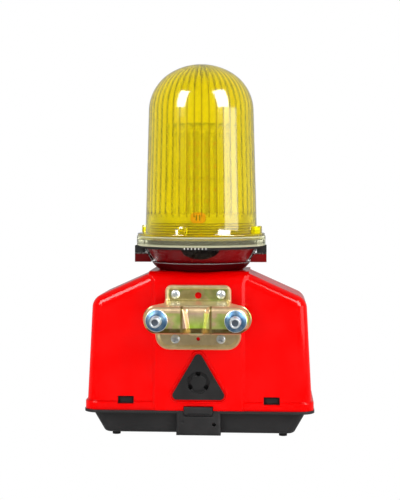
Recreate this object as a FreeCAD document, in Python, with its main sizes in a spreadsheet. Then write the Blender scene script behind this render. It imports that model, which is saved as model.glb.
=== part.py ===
"""Battery warning lamp for traffic barriers: a parametric FreeCAD document, in millimetres.

The origin is on the ground under the middle of the lamp, +Z is up, and the mounting clamp faces -Y.
Every driving size is a cell of the sheet "Dims". The other sizes are formulas of those cells.
"""
import FreeCAD
import Part
import Sketcher
import math
import os

V = FreeCAD.Vector
doc = FreeCAD.newDocument("barrier_lamp")
sheet = doc.addObject("Spreadsheet::Sheet", "Dims")
FULL_TURN = 360.0
SPRING_TURNS = 2.75
MEET_SIN, MEET_COS = 0.5736, 0.8192  # where the lens's two arcs meet, 35 degrees from the vertical
TAB_ANGLES = (-14.0, 76.0, 166.0, 256.0)
NODES = []

# Driving sizes. Each becomes a cell of the sheet with the alias given here.
DIMS = {
    # red hood
    "hood_base_z": 25.0, "roof_z": 153.0, "shoulder_z": 127.3, "roof_half": 42.4,
    "hood_half_low": 104.9, "hood_half_high": 99.8, "hood_half_depth": 42.0, "hood_wall": 2.5,
    "hood_edge_round": 11.0, "shoulder_round": 13.0, "roof_round": 22.0,
    "panel_half": 40.0, "panel_proud": 2.5, "panel_slant": 3.5, "panel_round": 12.0,
    "rim_proud": 1.5, "rim_height": 8.0, "neck_hole_radius": 15.0,
    "window_x": 67.5, "window_width": 14.7, "window_low_z": 30.8, "window_height": 7.0,
    "notch_half": 13.6, "notch_height": 4.2,
    # black battery tray
    "tray_base_z": 3.2, "tray_low_half": 88.0, "tray_high_half": 100.0, "tray_low_depth": 37.2,
    "tray_high_depth": 41.0, "tray_wall": 2.4, "tray_corner": 9.0, "lip_thick": 2.2, "lip_half": 107.0,
    "lip_half_depth": 45.6, "upstand_half": 99.9, "upstand_half_depth": 38.6, "upstand_height": 23.0,
    "foot_x": 78.0, "foot_y": 27.0, "foot_radius": 3.8, "pad_half": 20.5, "pad_face_y": 46.0,
    # hasp on the tray
    "hasp_half": 13.0, "hasp_thick": 2.4, "hasp_top_z": 28.8, "hinge_z": 23.4, "hinge_y": 44.4,
    "hasp_barrel": 3.0, "hasp_pin_radius": 1.0,
    # batteries
    "cell_side": 67.0, "cell_height": 97.0, "cell_gap": 2.0, "cell_floor_z": 6.2, "cell_round": 4.0,
    "spring_pitch": 2.1, "spring_radius": 7.5, "spring_wire": 0.6, "spring_lean": 35.0,
    # mounting plate and clamp
    "plate_half_high": 30.5, "plate_half_low": 39.5, "plate_top_z": 141.2, "plate_low_z": 81.6,
    "plate_sheet": 2.0, "plate_rim": 4.4, "plate_screw_x": 21.0, "plate_screw_z": 41.0,
    "plate_mid_z": 112.1, "ear_x": 36.8, "bolt_x": 35.4, "bolt_z": 111.5, "ear_radius": 12.6,
    "bridge_face_y": 62.0, "strap_face_y": 78.0, "strap_depth": 8.0, "strap_sheet": 2.5,
    "bolt_tail_y": 53.0, "bolt_radius": 4.0, "bolt_head_radius": 10.0, "bolt_head_height": 3.4,
    "boss_height": 17.5, "boss_foot_radius": 5.8, "boss_tip_radius": 4.6, "boss_recess_radius": 2.3,
    "nut_flats": 13.0, "nut_height": 6.5,
    # key lock
    "lock_z": 51.1, "rotor_radius": 10.2, "bezel_half": 19.85, "bezel_low_z": 39.5, "bezel_high_z": 73.3,
    "bezel_round": 4.0, "cam_sheet": 1.6, "cam_reach": 17.5, "key_hole_circle": 8.4, "key_hole_radius": 2.3,
    # lamp head
    "head_low_z": 153.2, "bowl_foot_radius": 40.0, "bowl_turn_radius": 47.3, "bowl_turn_z": 160.6,
    "bowl_top_radius": 54.0, "bowl_top_z": 172.6, "ring_low_z": 176.0, "ring_floor_z": 181.6,
    "ring_top_z": 185.4, "ring_radius": 61.6, "ring_wall": 2.0, "bowl_wall": 2.0,
    "lug_low_z": 160.4, "lug_high_z": 168.0, "lug_inner": 53.4, "lug_outer": 62.6, "lug_half_depth": 12.0,
    "washer_sheet": 1.3, "cap_radius": 3.6, "cap_depth": 2.6,
    "drum_radius": 46.0, "collar_radius": 48.0, "drum_step_z": 198.0, "drum_top_z": 206.0, "drum_wall": 2.0,
    "collar_pitch": 2.55, "board_z": 163.5, "sensor_half": 6.8, "sensor_height": 10.0, "sensor_face_y": 47.9,
    # lens
    "lens_low_z": 182.0, "lens_flange_radius": 58.6, "lens_rim_radius": 60.9, "lens_rim_low_z": 185.6,
    "lens_rim_top_z": 187.6, "lens_foot_radius": 53.3,
    "lens_top_radius": 50.2, "lens_tangent_z": 304.0, "lens_wall": 2.6, "side_arc": 43.2, "crown_arc": 55.2,
    "arc_meet_r": 31.66, "arc_meet_z": 339.2, "lens_top_z": 349.2, "tab_top_z": 194.8,
    # optics
    "optic_radius": 21.6, "optic_wall": 2.0, "optic_top_z": 292.0, "optic_band_z": 238.5,
    "post_radius": 7.0, "post_top_z": 284.0,
}


class Size:
    """A length with the sheet formula that gives it, so that a feature can be bound to the sheet."""

    def __init__(self, value, text):
        self.value = float(value)
        self.text = text

    @staticmethod
    def of(thing):
        return thing if isinstance(thing, Size) else Size(thing, f"({thing:.10g})")

    def joined(self, sign, other, value):
        return Size(value, f"({self.text} {sign} {Size.of(other).text})")

    def __add__(self, other):
        return self.joined("+", other, self.value + Size.of(other).value)

    def __sub__(self, other):
        return self.joined("-", other, self.value - Size.of(other).value)

    def __mul__(self, other):
        return self.joined("*", other, self.value * Size.of(other).value)

    def __truediv__(self, other):
        return self.joined("/", other, self.value / Size.of(other).value)

    def __neg__(self):
        return Size(-self.value, f"(-1 * {self.text})")

    def __radd__(self, other):
        return Size.of(other) + self

    def __rsub__(self, other):
        return Size.of(other) - self

    def __rmul__(self, other):
        return Size.of(other) * self


class Cells:
    """The sheet's cells by alias: d.hood_wall is the Size of that cell."""


d = Cells()


def fill_sheet():
    for row, (alias, value) in enumerate(DIMS.items(), start=1):
        sheet.set(f"A{row}", alias)
        sheet.set(f"B{row}", str(value))
        sheet.setAlias(f"B{row}", alias)
        setattr(d, alias, Size(value, f"Dims.{alias}"))
    doc.recompute()


# ---------------------------------------------------------------- features bound to the sheet
def bind(feature, prop, size):
    """Sets a property from a Size by its formula, or from a plain number."""
    size = Size.of(size)
    feature.setExpression(prop, size.text)


def place(feature, x=0, y=0, z=0, axis=None, turn=0):
    """Puts a feature at (x, y, z), turned about axis by turn degrees."""
    if axis is not None:
        feature.Placement = FreeCAD.Placement(V(), FreeCAD.Rotation(V(*axis), turn))
    for letter, size in zip("xyz", (x, y, z)):
        bind(feature, f"Placement.Base.{letter}", size)
    return feature


def box(name, x, y, z):
    """A box from three (low, high) pairs."""
    made = doc.addObject("Part::Box", name)
    for prop, (low, high) in zip(("Length", "Width", "Height"), (x, y, z)):
        bind(made, prop, Size.of(high) - low)
    return place(made, x[0], y[0], z[0])


def rod(name, radius, start, length, along="z"):
    """A cylinder from the point start, running length along +x, +y or +z."""
    made = doc.addObject("Part::Cylinder", name)
    bind(made, "Radius", radius)
    bind(made, "Height", length)
    turns = {"z": (None, 0), "x": ((0, 1, 0), 90), "y": ((1, 0, 0), -90)}
    axis, turn = turns[along]
    return place(made, *start, axis=axis, turn=turn)


def cut(name, base, *tools):
    made = doc.addObject("Part::Cut", name)
    made.Base = base
    made.Tool = tools[0] if len(tools) == 1 else fuse(name + "_tools", *tools)
    return made


def fuse(name, *parts):
    made = doc.addObject("Part::MultiFuse", name)
    made.Shapes = list(parts)
    return made


def common(name, *parts):
    made = doc.addObject("Part::MultiCommon", name)
    made.Shapes = list(parts)
    return made


def group(name, parts):
    """Separate solids that share one node."""
    made = doc.addObject("Part::Compound", name)
    made.Links = list(parts)
    return made


def rounded(name, base, radius, pick):
    """Part fillet on the edges that pick(edge) accepts."""
    doc.recompute()
    made = doc.addObject("Part::Fillet", name)
    made.Base = base
    size = Size.of(radius).value
    made.Edges = [(i, size, size) for i, e in enumerate(base.Shape.Edges, start=1) if pick(e)]
    return made


def node(label, feature):
    """Registers a finished sub-part under the label that names its file."""
    feature.Label = label
    NODES.append(feature)
    return feature


def sketch(body, plane, outline, offset=0):
    """A closed, fully placed sketch. outline holds (x, y) corners; a third item, a radius, bends the side that
    follows that corner, to the left of its way if positive and to the right if negative. A fourth item, True,
    puts that arc's centre on the vertical axis."""
    made = body.newObject("Sketcher::SketchObject", body.Name + "_outline")
    origin = [f for f in body.Origin.OriginFeatures if f.Role == plane + "_Plane"][0]
    made.AttachmentSupport = [(origin, "")]
    made.MapMode = "FlatFace"
    bind(made, "AttachmentOffset.Base.z", offset)
    corners = [(Size.of(c[0]), Size.of(c[1]), c[2] if len(c) > 2 else None, len(c) > 3) for c in outline]
    spots = [V(x.value, y.value, 0) for x, y, _, _ in corners]
    count = len(corners)
    for i, (_, _, bend, _) in enumerate(corners):
        start, end = spots[i], spots[(i + 1) % count]
        if bend is None:
            made.addGeometry(Part.LineSegment(start, end))
            continue
        radius = abs(Size.of(bend).value)
        chord = end - start
        side = V(-chord.y, chord.x, 0).normalize() * (1 if Size.of(bend).value > 0 else -1)
        sagitta = radius - math.sqrt(radius ** 2 - (chord.Length / 2) ** 2)
        top = (start + end) / 2 + side * sagitta
        first, last = (end, start) if Size.of(bend).value > 0 else (start, end)
        made.addGeometry(Part.Arc(first, top, last))

    # An arc runs anticlockwise, so one that bends to the left of its way is stored from its far end.
    begins = [2 if c[2] is not None and Size.of(c[2]).value > 0 else 1 for c in corners]
    for i, (x, y, bend, centred) in enumerate(corners):
        before = (i - 1) % count
        made.addConstraint(Sketcher.Constraint("Coincident", before, 3 - begins[before], i, begins[i]))
        for kind, size, axis in (("DistanceX", x, -2), ("DistanceY", y, -1)):
            if abs(size.value) < 1e-9:
                made.addConstraint(Sketcher.Constraint("PointOnObject", i, begins[i], axis))
                continue
            mark = Sketcher.Constraint(kind, -1, 1, i, begins[i], size.value)
            made.setExpression(f"Constraints[{made.addConstraint(mark)}]", size.text)
        if centred:
            made.addConstraint(Sketcher.Constraint("PointOnObject", i, 3, -2))
        elif bend is not None:
            arc = Size.of(bend) if Size.of(bend).value > 0 else -Size.of(bend)
            mark = made.addConstraint(Sketcher.Constraint("Radius", i, arc.value))
            made.setExpression(f"Constraints[{mark}]", arc.text)
    return made


def padded(name, plane, outline, length, middle=True, offset=0):
    """A body padded from a sketch, about its plane or away from it."""
    body = doc.addObject("PartDesign::Body", name)
    profile = sketch(body, plane, outline, offset)
    pad = body.newObject("PartDesign::Pad", name + "_pad")
    pad.Profile = profile
    pad.Midplane = middle
    bind(pad, "Length", length)
    doc.recompute()
    return body


def spun(name, outline):
    """A body of revolution about +Z, from a profile of (radius, z) corners."""
    body = doc.addObject("PartDesign::Body", name)
    profile = sketch(body, "XZ", outline)
    turned = body.newObject("PartDesign::Revolution", name + "_turn")
    turned.Profile = profile
    turned.ReferenceAxis = (profile, ["V_Axis"])
    turned.Angle = FULL_TURN
    doc.recompute()
    return body


def soften(body, radius, pick):
    """A PartDesign fillet on the tip's edges that pick(edge) accepts."""
    tip = body.Tip
    names = [f"Edge{i}" for i, e in enumerate(tip.Shape.Edges, start=1) if pick(e)]
    made = body.newObject("PartDesign::Fillet", body.Name + "_round")
    made.Base = (tip, names)
    bind(made, "Radius", radius)
    doc.recompute()
    return body


def turned(feature, angle):
    """The feature carried round the vertical axis by angle degrees."""
    carrier = doc.addObject("Part::Compound", feature.Name + "_turned")
    carrier.Links = [feature]
    carrier.Placement = FreeCAD.Placement(V(), FreeCAD.Rotation(V(0, 0, 1), angle))
    return carrier


# ---------------------------------------------------------------- edge pickers
def middle(edge):
    return edge.CenterOfMass


def runs_along(edge, way):
    if len(edge.Vertexes) < 2:
        return False
    step = (edge.Vertexes[-1].Point - edge.Vertexes[0].Point)
    return step.Length > 0 and abs(step.normalize().dot(way)) > 0.999


def near(value, other, slack=0.05):
    return abs(value - Size.of(other).value) < slack


# ---------------------------------------------------------------- screws shared by several sub-parts
def pan_screw(name, x, y, z, head_radius, head_height, shank_radius, length):
    """A cross-recess pan screw whose head faces -Y. (x, y, z) is the seat under its head."""
    head = rod(name + "_head", head_radius, (x, y - head_height, z), head_height, "y")
    doc.recompute()
    head = rounded(name + "_dome", head, head_height * 0.45,
                   lambda e: near(middle(e).y, y - head_height))
    shank = rod(name + "_shank", shank_radius, (x, y - 0.2, z), length + 0.2, "y")
    blade, slot = head_radius * 0.62, head_radius * 0.13
    deep = (y - head_height - 0.1, y - head_height * 0.4)
    cross = [box(name + "_slot_a", (x - blade, x + blade), deep, (z - slot, z + slot)),
             box(name + "_slot_b", (x - slot, x + slot), deep, (z - blade, z + blade))]
    return cut(name, fuse(name + "_whole", head, shank), *cross)


def upright_screw(name, x, y, z, head_radius, head_height, shank_radius, length):
    """A pan screw driven down from above. (x, y, z) is the seat under its head."""
    head = rod(name + "_head", head_radius, (x, y, z), head_height)
    shank = rod(name + "_shank", shank_radius, (x, y, z - length), length + 0.2)
    slot = box(name + "_slot", (x - head_radius, x + head_radius), (y - 0.5, y + 0.5),
               (z + head_height * 0.5, z + head_height + 0.1))
    return cut(name, fuse(name + "_whole", head, shank), slot)


def around(radius, count, phase):
    """Centres of count places on a circle, as (x, y) Sizes, with the first at phase degrees."""
    for i in range(count):
        angle = math.radians(phase + FULL_TURN * i / count)
        yield radius * round(math.cos(angle), 6), radius * round(math.sin(angle), 6)


# ---------------------------------------------------------------- red hood
def hood_block(name, inset):
    """The hood's faceted body, taken in by inset on every side but its foot."""
    low, high = d.hood_half_low - inset, d.hood_half_high - inset
    foot = d.hood_base_z - inset
    roof, shoulder = d.roof_z - inset, d.shoulder_z - inset * 0.9
    flat = d.roof_half - inset * 0.2
    outline = [(-low, foot), (low, foot), (high, shoulder), (flat, roof), (-flat, roof), (-high, shoulder)]
    body = padded(name, "XZ", outline, (d.hood_half_depth - inset) * 2)
    along = V(0, 1, 0)
    soften(body, d.roof_round - inset, lambda e: runs_along(e, along) and near(middle(e).z, roof))
    soften(body, d.shoulder_round - inset, lambda e: runs_along(e, along) and near(middle(e).z, shoulder))
    face = (d.hood_half_depth - inset).value
    soften(body, d.hood_edge_round - inset,
           lambda e: near(abs(middle(e).y), face) and middle(e).z > foot.value + 1)
    return body


def panel_band(name, inset):
    """The proud band down the middle of both faces, with slanting sides and a rounded top."""
    face = d.hood_half_depth + d.panel_proud - inset
    root = d.hood_half_depth - 3
    half, spread = d.panel_half - inset, d.panel_half + d.panel_slant + 3 - inset
    foot, top = d.hood_base_z - inset, d.roof_z - inset
    bend = d.panel_round - inset
    plan = padded(name + "_plan", "XY",
                  [(-half, -face), (half, -face), (spread, -root), (spread, root), (half, face), (-half, face),
                   (-spread, root), (-spread, -root)], top - foot, middle=False, offset=foot)
    side = padded(name + "_side", "YZ",
                  [(-face, foot), (face, foot), (face, top - bend, -bend), (face - bend, top),
                   (bend - face, top, -bend), (-face, top - bend)], spread * 2)
    return common(name, plan, side)


def bezel_prism(name, grow, low_y, high_y):
    """The lock's rounded triangle, grown by grow, between two depths in front of the middle."""
    turn = d.bezel_round + grow
    corners = [(-d.bezel_half, d.bezel_low_z), (d.bezel_half, d.bezel_low_z), (0, d.bezel_high_z)]
    parts = [rod(f"{name}_corner{i}", turn, (x, -high_y, z), high_y - low_y, "y")
             for i, (x, z) in enumerate(corners)]
    slope = math.atan2((d.bezel_high_z - d.bezel_low_z).value, d.bezel_half.value)
    out_x, out_z = turn * round(math.sin(slope), 6), turn * round(math.cos(slope), 6)
    outline = [(-d.bezel_half, d.bezel_low_z - turn), (d.bezel_half, d.bezel_low_z - turn),
               (d.bezel_half + out_x, d.bezel_low_z + out_z), (0 + out_x, d.bezel_high_z + out_z),
               (0 - out_x, d.bezel_high_z + out_z), (-d.bezel_half - out_x, d.bezel_low_z + out_z)]
    prism = padded(name + "_web", "XZ", outline, high_y - low_y, middle=False, offset=low_y)
    return fuse(name, prism, *parts)


def hood():
    panel = d.hood_half_depth + d.panel_proud
    rim_x, rim_y = d.hood_half_low + d.rim_proud, d.hood_half_depth + d.rim_proud
    rim_top = d.hood_base_z + d.rim_height
    rim = box("hood_rim", (-rim_x, rim_x), (-rim_y, rim_y), (d.hood_base_z, rim_top))
    doc.recompute()
    rim = rounded("hood_rim_corners", rim, d.hood_edge_round + d.rim_proud, lambda e: runs_along(e, V(0, 0, 1)))
    rim = rounded("hood_rim_soft", rim, d.rim_proud * 0.9, lambda e: near(middle(e).z, rim_top, 0.01))
    collar = cut("bezel_bead", bezel_prism("bead_out", Size.of(3.0), panel - 1, panel + 0.9),
                 bezel_prism("bead_in", Size.of(1.6), panel - 2, panel + 2))
    outer = fuse("hood_outer", hood_block("hood_body", Size.of(0)), panel_band("hood_band", Size.of(0)), rim, collar)
    inner = fuse("hood_hollow", hood_block("hood_cavity", d.hood_wall), panel_band("hood_band_in", d.hood_wall))
    wall = (d.hood_half_depth - 8, panel + 3)
    tools = []
    for side in (-1, 1):
        middle_x = d.window_x * side
        for face in (-1, 1):
            y = (wall[0], wall[1]) if face > 0 else (-wall[1], -wall[0])
            tools.append(box(f"window_{side}_{face}", (middle_x - d.window_width / 2, middle_x + d.window_width / 2),
                             y, (d.window_low_z, d.window_low_z + d.window_height)))
        for level in (0, 1):
            z = d.plate_mid_z - d.plate_screw_z / 2 + d.plate_screw_z * level
            tools.append(rod(f"screw_hole_{side}_{level}", 1.9, (d.plate_screw_x * side, -panel - 1, z), 8, "y"))
    tools.append(box("hasp_notch", (-d.notch_half, d.notch_half), (-wall[1], -wall[0]),
                     (d.hood_base_z - 1, d.hood_base_z + d.notch_height)))
    tools.append(rod("lock_hole", d.rotor_radius + 1.6, (0, -wall[1], d.lock_z), wall[1] - wall[0], "y"))
    tools.append(rod("neck_hole", d.neck_hole_radius, (0, 0, d.roof_z - 8), 12))
    for i, (x, y) in enumerate(around(Size.of(25.0), 3, 90)):
        tools.append(rod(f"head_screw_hole_{i}", 2.1, (x, y, d.roof_z - 8), 12))
    node("hood_shell", cut("hood_shell", outer, inner, *tools))


# ---------------------------------------------------------------- mounting plate, strap and bolts
def mounting_plate():
    """Pressed plate: a rimmed pan above, a wider rimmed pan below, and a bridge between them with two ears."""
    seat = -(d.hood_half_depth + d.panel_proud) - 0.05
    back, lip = seat - d.plate_sheet, seat - d.plate_rim
    split = d.bolt_z - 3

    def plate(name, half, low, high, corner, outer_z, shrink, depth):
        slab = box(name, (shrink - half, half - shrink), depth, (low + shrink, high - shrink))
        return rounded(name + "_round", slab, corner - shrink,
                       lambda e: runs_along(e, V(0, 1, 0)) and abs(middle(e).z - outer_z.value) < 3)

    zero, inset = Size.of(0), d.plate_sheet
    solid, hollow = (lip, seat), (lip - 1, back)
    high, low = (Size.of(6.0), d.plate_top_z), (Size.of(13.0), d.plate_low_z)
    upper = plate("pan_high", d.plate_half_high, split, d.plate_top_z, *high, zero, solid)
    lower = plate("pan_low", d.plate_half_low, d.plate_low_z, split, *low, zero, solid)
    cavities = [plate("well_high", d.plate_half_high, split + 12, d.plate_top_z, *high, inset, hollow),
                plate("well_low", d.plate_half_low, d.plate_low_z, split - 6, *low, inset, hollow)]
    face = -d.bridge_face_y
    top_out, low_out = d.bolt_z + 16.4, d.bolt_z - 14.5
    hump = [(seat, top_out), (lip, top_out), (face, d.bolt_z + 10.5), (face, d.bolt_z - 10.5), (lip, low_out),
            (seat, low_out), (seat, low_out + 2.5), (back, low_out + 2.5), (face + d.plate_sheet, d.bolt_z - 8.5),
            (face + d.plate_sheet, d.bolt_z + 8.5), (back, top_out - 2.5), (seat, top_out - 2.5)]
    bridge = padded("bridge", "YZ", hump, d.plate_half_high * 2)
    gap = box("bridge_gap", (-d.plate_half_low - 1, d.plate_half_low + 1), (lip - 1, seat + 1),
              (low_out + 2.5, top_out - 2.5))
    ears = [rod(f"ear_{side}", d.ear_radius, (d.ear_x * side, face, d.bolt_z), d.plate_sheet, "y")
            for side in (-1, 1)]
    web = box("ear_web", (-d.ear_x, d.ear_x), (face, face + d.plate_sheet),
              (d.bolt_z - d.ear_radius, d.bolt_z + d.ear_radius))
    pans = cut("pans", fuse("pan_pair", upper, lower), *cavities, gap)
    whole = fuse("plate_whole", pans, bridge, web, *ears)
    holes = [rod(f"ear_hole_{side}", d.bolt_radius + 0.3, (d.bolt_x * side, face - 1, d.bolt_z), 5, "y")
             for side in (-1, 1)]
    for side in (-1, 1):
        for level in (0, 1):
            z = d.plate_mid_z - d.plate_screw_z / 2 + d.plate_screw_z * level
            holes.append(rod(f"plate_hole_{side}_{level}", 2.2, (d.plate_screw_x * side, lip - 1, z), 8, "y"))
    holes.append(rod("plate_centre_hole", 3.0, (0, lip - 1, d.plate_mid_z + d.plate_screw_z / 2 - 1), 8, "y"))
    holes.append(rod("plate_low_hole", 1.8, (0, lip - 1, d.plate_mid_z - d.plate_screw_z / 2), 8, "y"))
    node("mounting_plate", cut("mounting_plate", whole, *holes))
    screws = []
    for side in (-1, 1):
        for level in (0, 1):
            z = d.plate_mid_z - d.plate_screw_z / 2 + d.plate_screw_z * level
            screws.append(pan_screw(f"plate_screw_{side}_{level}", d.plate_screw_x * side, back - 0.02, z,
                                    4.2, 2.4, 1.85, 9.0))
    node("plate_screws", group("plate_screws", screws))
    nuts = []
    for side in (-1, 1):
        nut = doc.addObject("Part::Prism", f"nut_{side}")
        nut.Polygon = 6
        bind(nut, "Circumradius", d.nut_flats / math.sqrt(3))
        bind(nut, "Height", d.nut_height)
        place(nut, d.bolt_x * side, face + d.plate_sheet, d.bolt_z, axis=(1, 0, 0), turn=-90)
        bore = rod(f"nut_bore_{side}", d.bolt_radius + 0.06, (d.bolt_x * side, face, d.bolt_z), 12, "y")
        nuts.append(cut(f"nut_whole_{side}", nut, bore))
    node("weld_nuts", group("weld_nuts", nuts))


def clamp():
    """The outer clamp strap, a pressed channel with a funnel-shaped saddle, and its two domed bolts."""
    face, back = -d.strap_face_y, d.strap_depth - d.strap_face_y

    def stadium(name, shrink, low, high):
        radius = d.ear_radius - shrink
        parts = [rod(f"{name}_{side}", radius, (d.bolt_x * side, low, d.bolt_z), high - low, "y")
                 for side in (-1, 1)]
        web = box(name + "_web", (-d.bolt_x, d.bolt_x), (low, high), (d.bolt_z - radius, d.bolt_z + radius))
        return fuse(name, web, *parts)

    shell = stadium("strap_out", Size.of(0), face, back)
    rim_edge = rounded("strap_soft", shell, 2.0, lambda e: near(middle(e).y, face, 0.01))
    hollow = stadium("strap_in", d.strap_sheet, face + d.strap_sheet, back + 1)
    saddle = padded("saddle", "XY", [(-12.5, face - 1), (12.5, face - 1), (7.0, face + 4.5), (-7.0, face + 4.5)],
                    d.ear_radius * 2 + 2, middle=False, offset=d.bolt_z - d.ear_radius - 1)
    backing = padded("saddle_back", "XY",
                     [(-15.0, face + 1), (15.0, face + 1), (9.5, face + 7), (-9.5, face + 7)],
                     d.ear_radius * 2 - 1, middle=False, offset=d.bolt_z - d.ear_radius + 0.5)
    trough = cut("strap_trough", fuse("strap_backed", cut("strap_channel", rim_edge, hollow), backing), saddle)
    holes = [box(f"square_hole_{side}",
                 (d.bolt_x * side - d.bolt_radius - 0.1, d.bolt_x * side + d.bolt_radius + 0.1),
                 (face - 1, face + 4), (d.bolt_z - d.bolt_radius - 0.1, d.bolt_z + d.bolt_radius + 0.1))
             for side in (-1, 1)]
    node("clamp_strap", cut("clamp_strap", trough, *holes))
    bolts = []
    tail = d.strap_face_y + 0.5 - d.bolt_tail_y
    for side in (-1, 1):
        x = d.bolt_x * side
        ball = (d.bolt_head_radius.value ** 2 + d.bolt_head_height.value ** 2) / (2 * d.bolt_head_height.value)
        dome = doc.addObject("Part::Sphere", f"bolt_dome_{side}")
        dome.Radius = ball
        place(dome, x, face + (ball - d.bolt_head_height.value), d.bolt_z)
        head = common(f"bolt_head_{side}", dome,
                      rod(f"bolt_disc_{side}", d.bolt_head_radius, (x, face - d.bolt_head_height - 1, d.bolt_z),
                          d.bolt_head_height + 0.98, "y"))
        boss = doc.addObject("Part::Cone", f"bolt_boss_{side}")
        bind(boss, "Radius1", d.boss_foot_radius)
        bind(boss, "Radius2", d.boss_tip_radius)
        bind(boss, "Height", d.boss_height - 1)
        place(boss, x, face - 1, d.bolt_z, axis=(1, 0, 0), turn=90)
        recess = rod(f"bolt_recess_{side}", d.boss_recess_radius, (x, face - d.boss_height - 1, d.bolt_z), 3.4, "y")
        neck = box(f"bolt_neck_{side}", (x - d.bolt_radius, x + d.bolt_radius), (face - 0.5, face + 2.4),
                   (d.bolt_z - d.bolt_radius, d.bolt_z + d.bolt_radius))
        shank = rod(f"bolt_shank_{side}", d.bolt_radius, (x, face - 0.5, d.bolt_z), tail, "y")
        bolts.append(cut(f"bolt_{side}", fuse(f"bolt_whole_{side}", head, boss, neck, shank), recess))
    node("clamp_bolts", group("clamp_bolts", bolts))


# ---------------------------------------------------------------- key lock
def key_lock():
    panel = d.hood_half_depth + d.panel_proud
    plate = bezel_prism("bezel_plate", Size.of(0), panel + 0.05, panel + 1.6)
    sleeve = rod("bezel_sleeve", d.rotor_radius + 1.4, (0, -panel - 0.1, d.lock_z), 5.8, "y")
    bore = rod("bezel_bore", d.rotor_radius + 0.15, (0, -panel - 4, d.lock_z), 30, "y")
    node("lock_bezel", cut("lock_bezel", fuse("bezel_whole", plate, sleeve), bore))
    inside = -(d.hood_half_depth + d.panel_proud - d.hood_wall)
    ring = rod("lock_ring_disc", d.rotor_radius + 4.5, (0, inside + 0.05, d.lock_z), 2.6, "y")
    ring_bore = rod("lock_ring_bore", d.rotor_radius + 1.45, (0, inside - 1, d.lock_z), 6, "y")
    node("lock_retaining_ring", cut("lock_retaining_ring", ring, ring_bore))
    front = -panel - 1.2
    cam_y = front + 7.1
    barrel = rod("rotor_barrel", d.rotor_radius, (0, front, d.lock_z), cam_y - 0.05 - front, "y")
    groove = cut("rotor_groove", rod("rotor_groove_out", 9.6, (0, front - 1, d.lock_z), 2.3, "y"),
                 rod("rotor_groove_in", 6.9, (0, front - 2, d.lock_z), 5, "y"))
    keys = [rod(f"key_hole_{i}", d.key_hole_radius, (x, front - 1, d.lock_z + z), 5.5, "y")
            for i, (x, z) in enumerate(around(d.key_hole_circle, 3, 90))]
    shaft = rod("rotor_shaft", 3.0, (0, cam_y - 1, d.lock_z), 2.7, "y")
    node("lock_rotor", cut("lock_rotor", fuse("rotor_whole", barrel, shaft), groove, *keys))
    cam = fuse("cam_whole",
               box("cam_bar", (-4.0, 4.0), (cam_y, cam_y + d.cam_sheet), (d.lock_z - d.cam_reach, d.lock_z)),
               rod("cam_hub", 5.5, (0, cam_y, d.lock_z), d.cam_sheet, "y"))
    node("lock_cam", cut("lock_cam", cam, rod("cam_bore", 3.05, (0, cam_y - 1, d.lock_z), 6, "y")))
    screw = rod("cam_screw_head", 4.2, (0, cam_y + 1.75, d.lock_z), 1.7, "y")
    node("lock_cam_screw", screw)


# ---------------------------------------------------------------- battery tray, hasp and batteries
def frustum(name, low_x, low_y, low_z, high_x, high_y, high_z):
    """A box whose four sides lean, between two levels."""
    made = doc.addObject("Part::Wedge", name)
    for prop, size in (("Xmin", -low_x), ("Xmax", low_x), ("Zmin", -low_y), ("Zmax", low_y),
                       ("X2min", -high_x), ("X2max", high_x), ("Z2min", -high_y), ("Z2max", high_y),
                       ("Ymin", low_z), ("Ymax", high_z)):
        bind(made, prop, size)
    made.Placement = FreeCAD.Placement(V(), FreeCAD.Rotation(V(1, 0, 0), 90))
    return made


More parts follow.
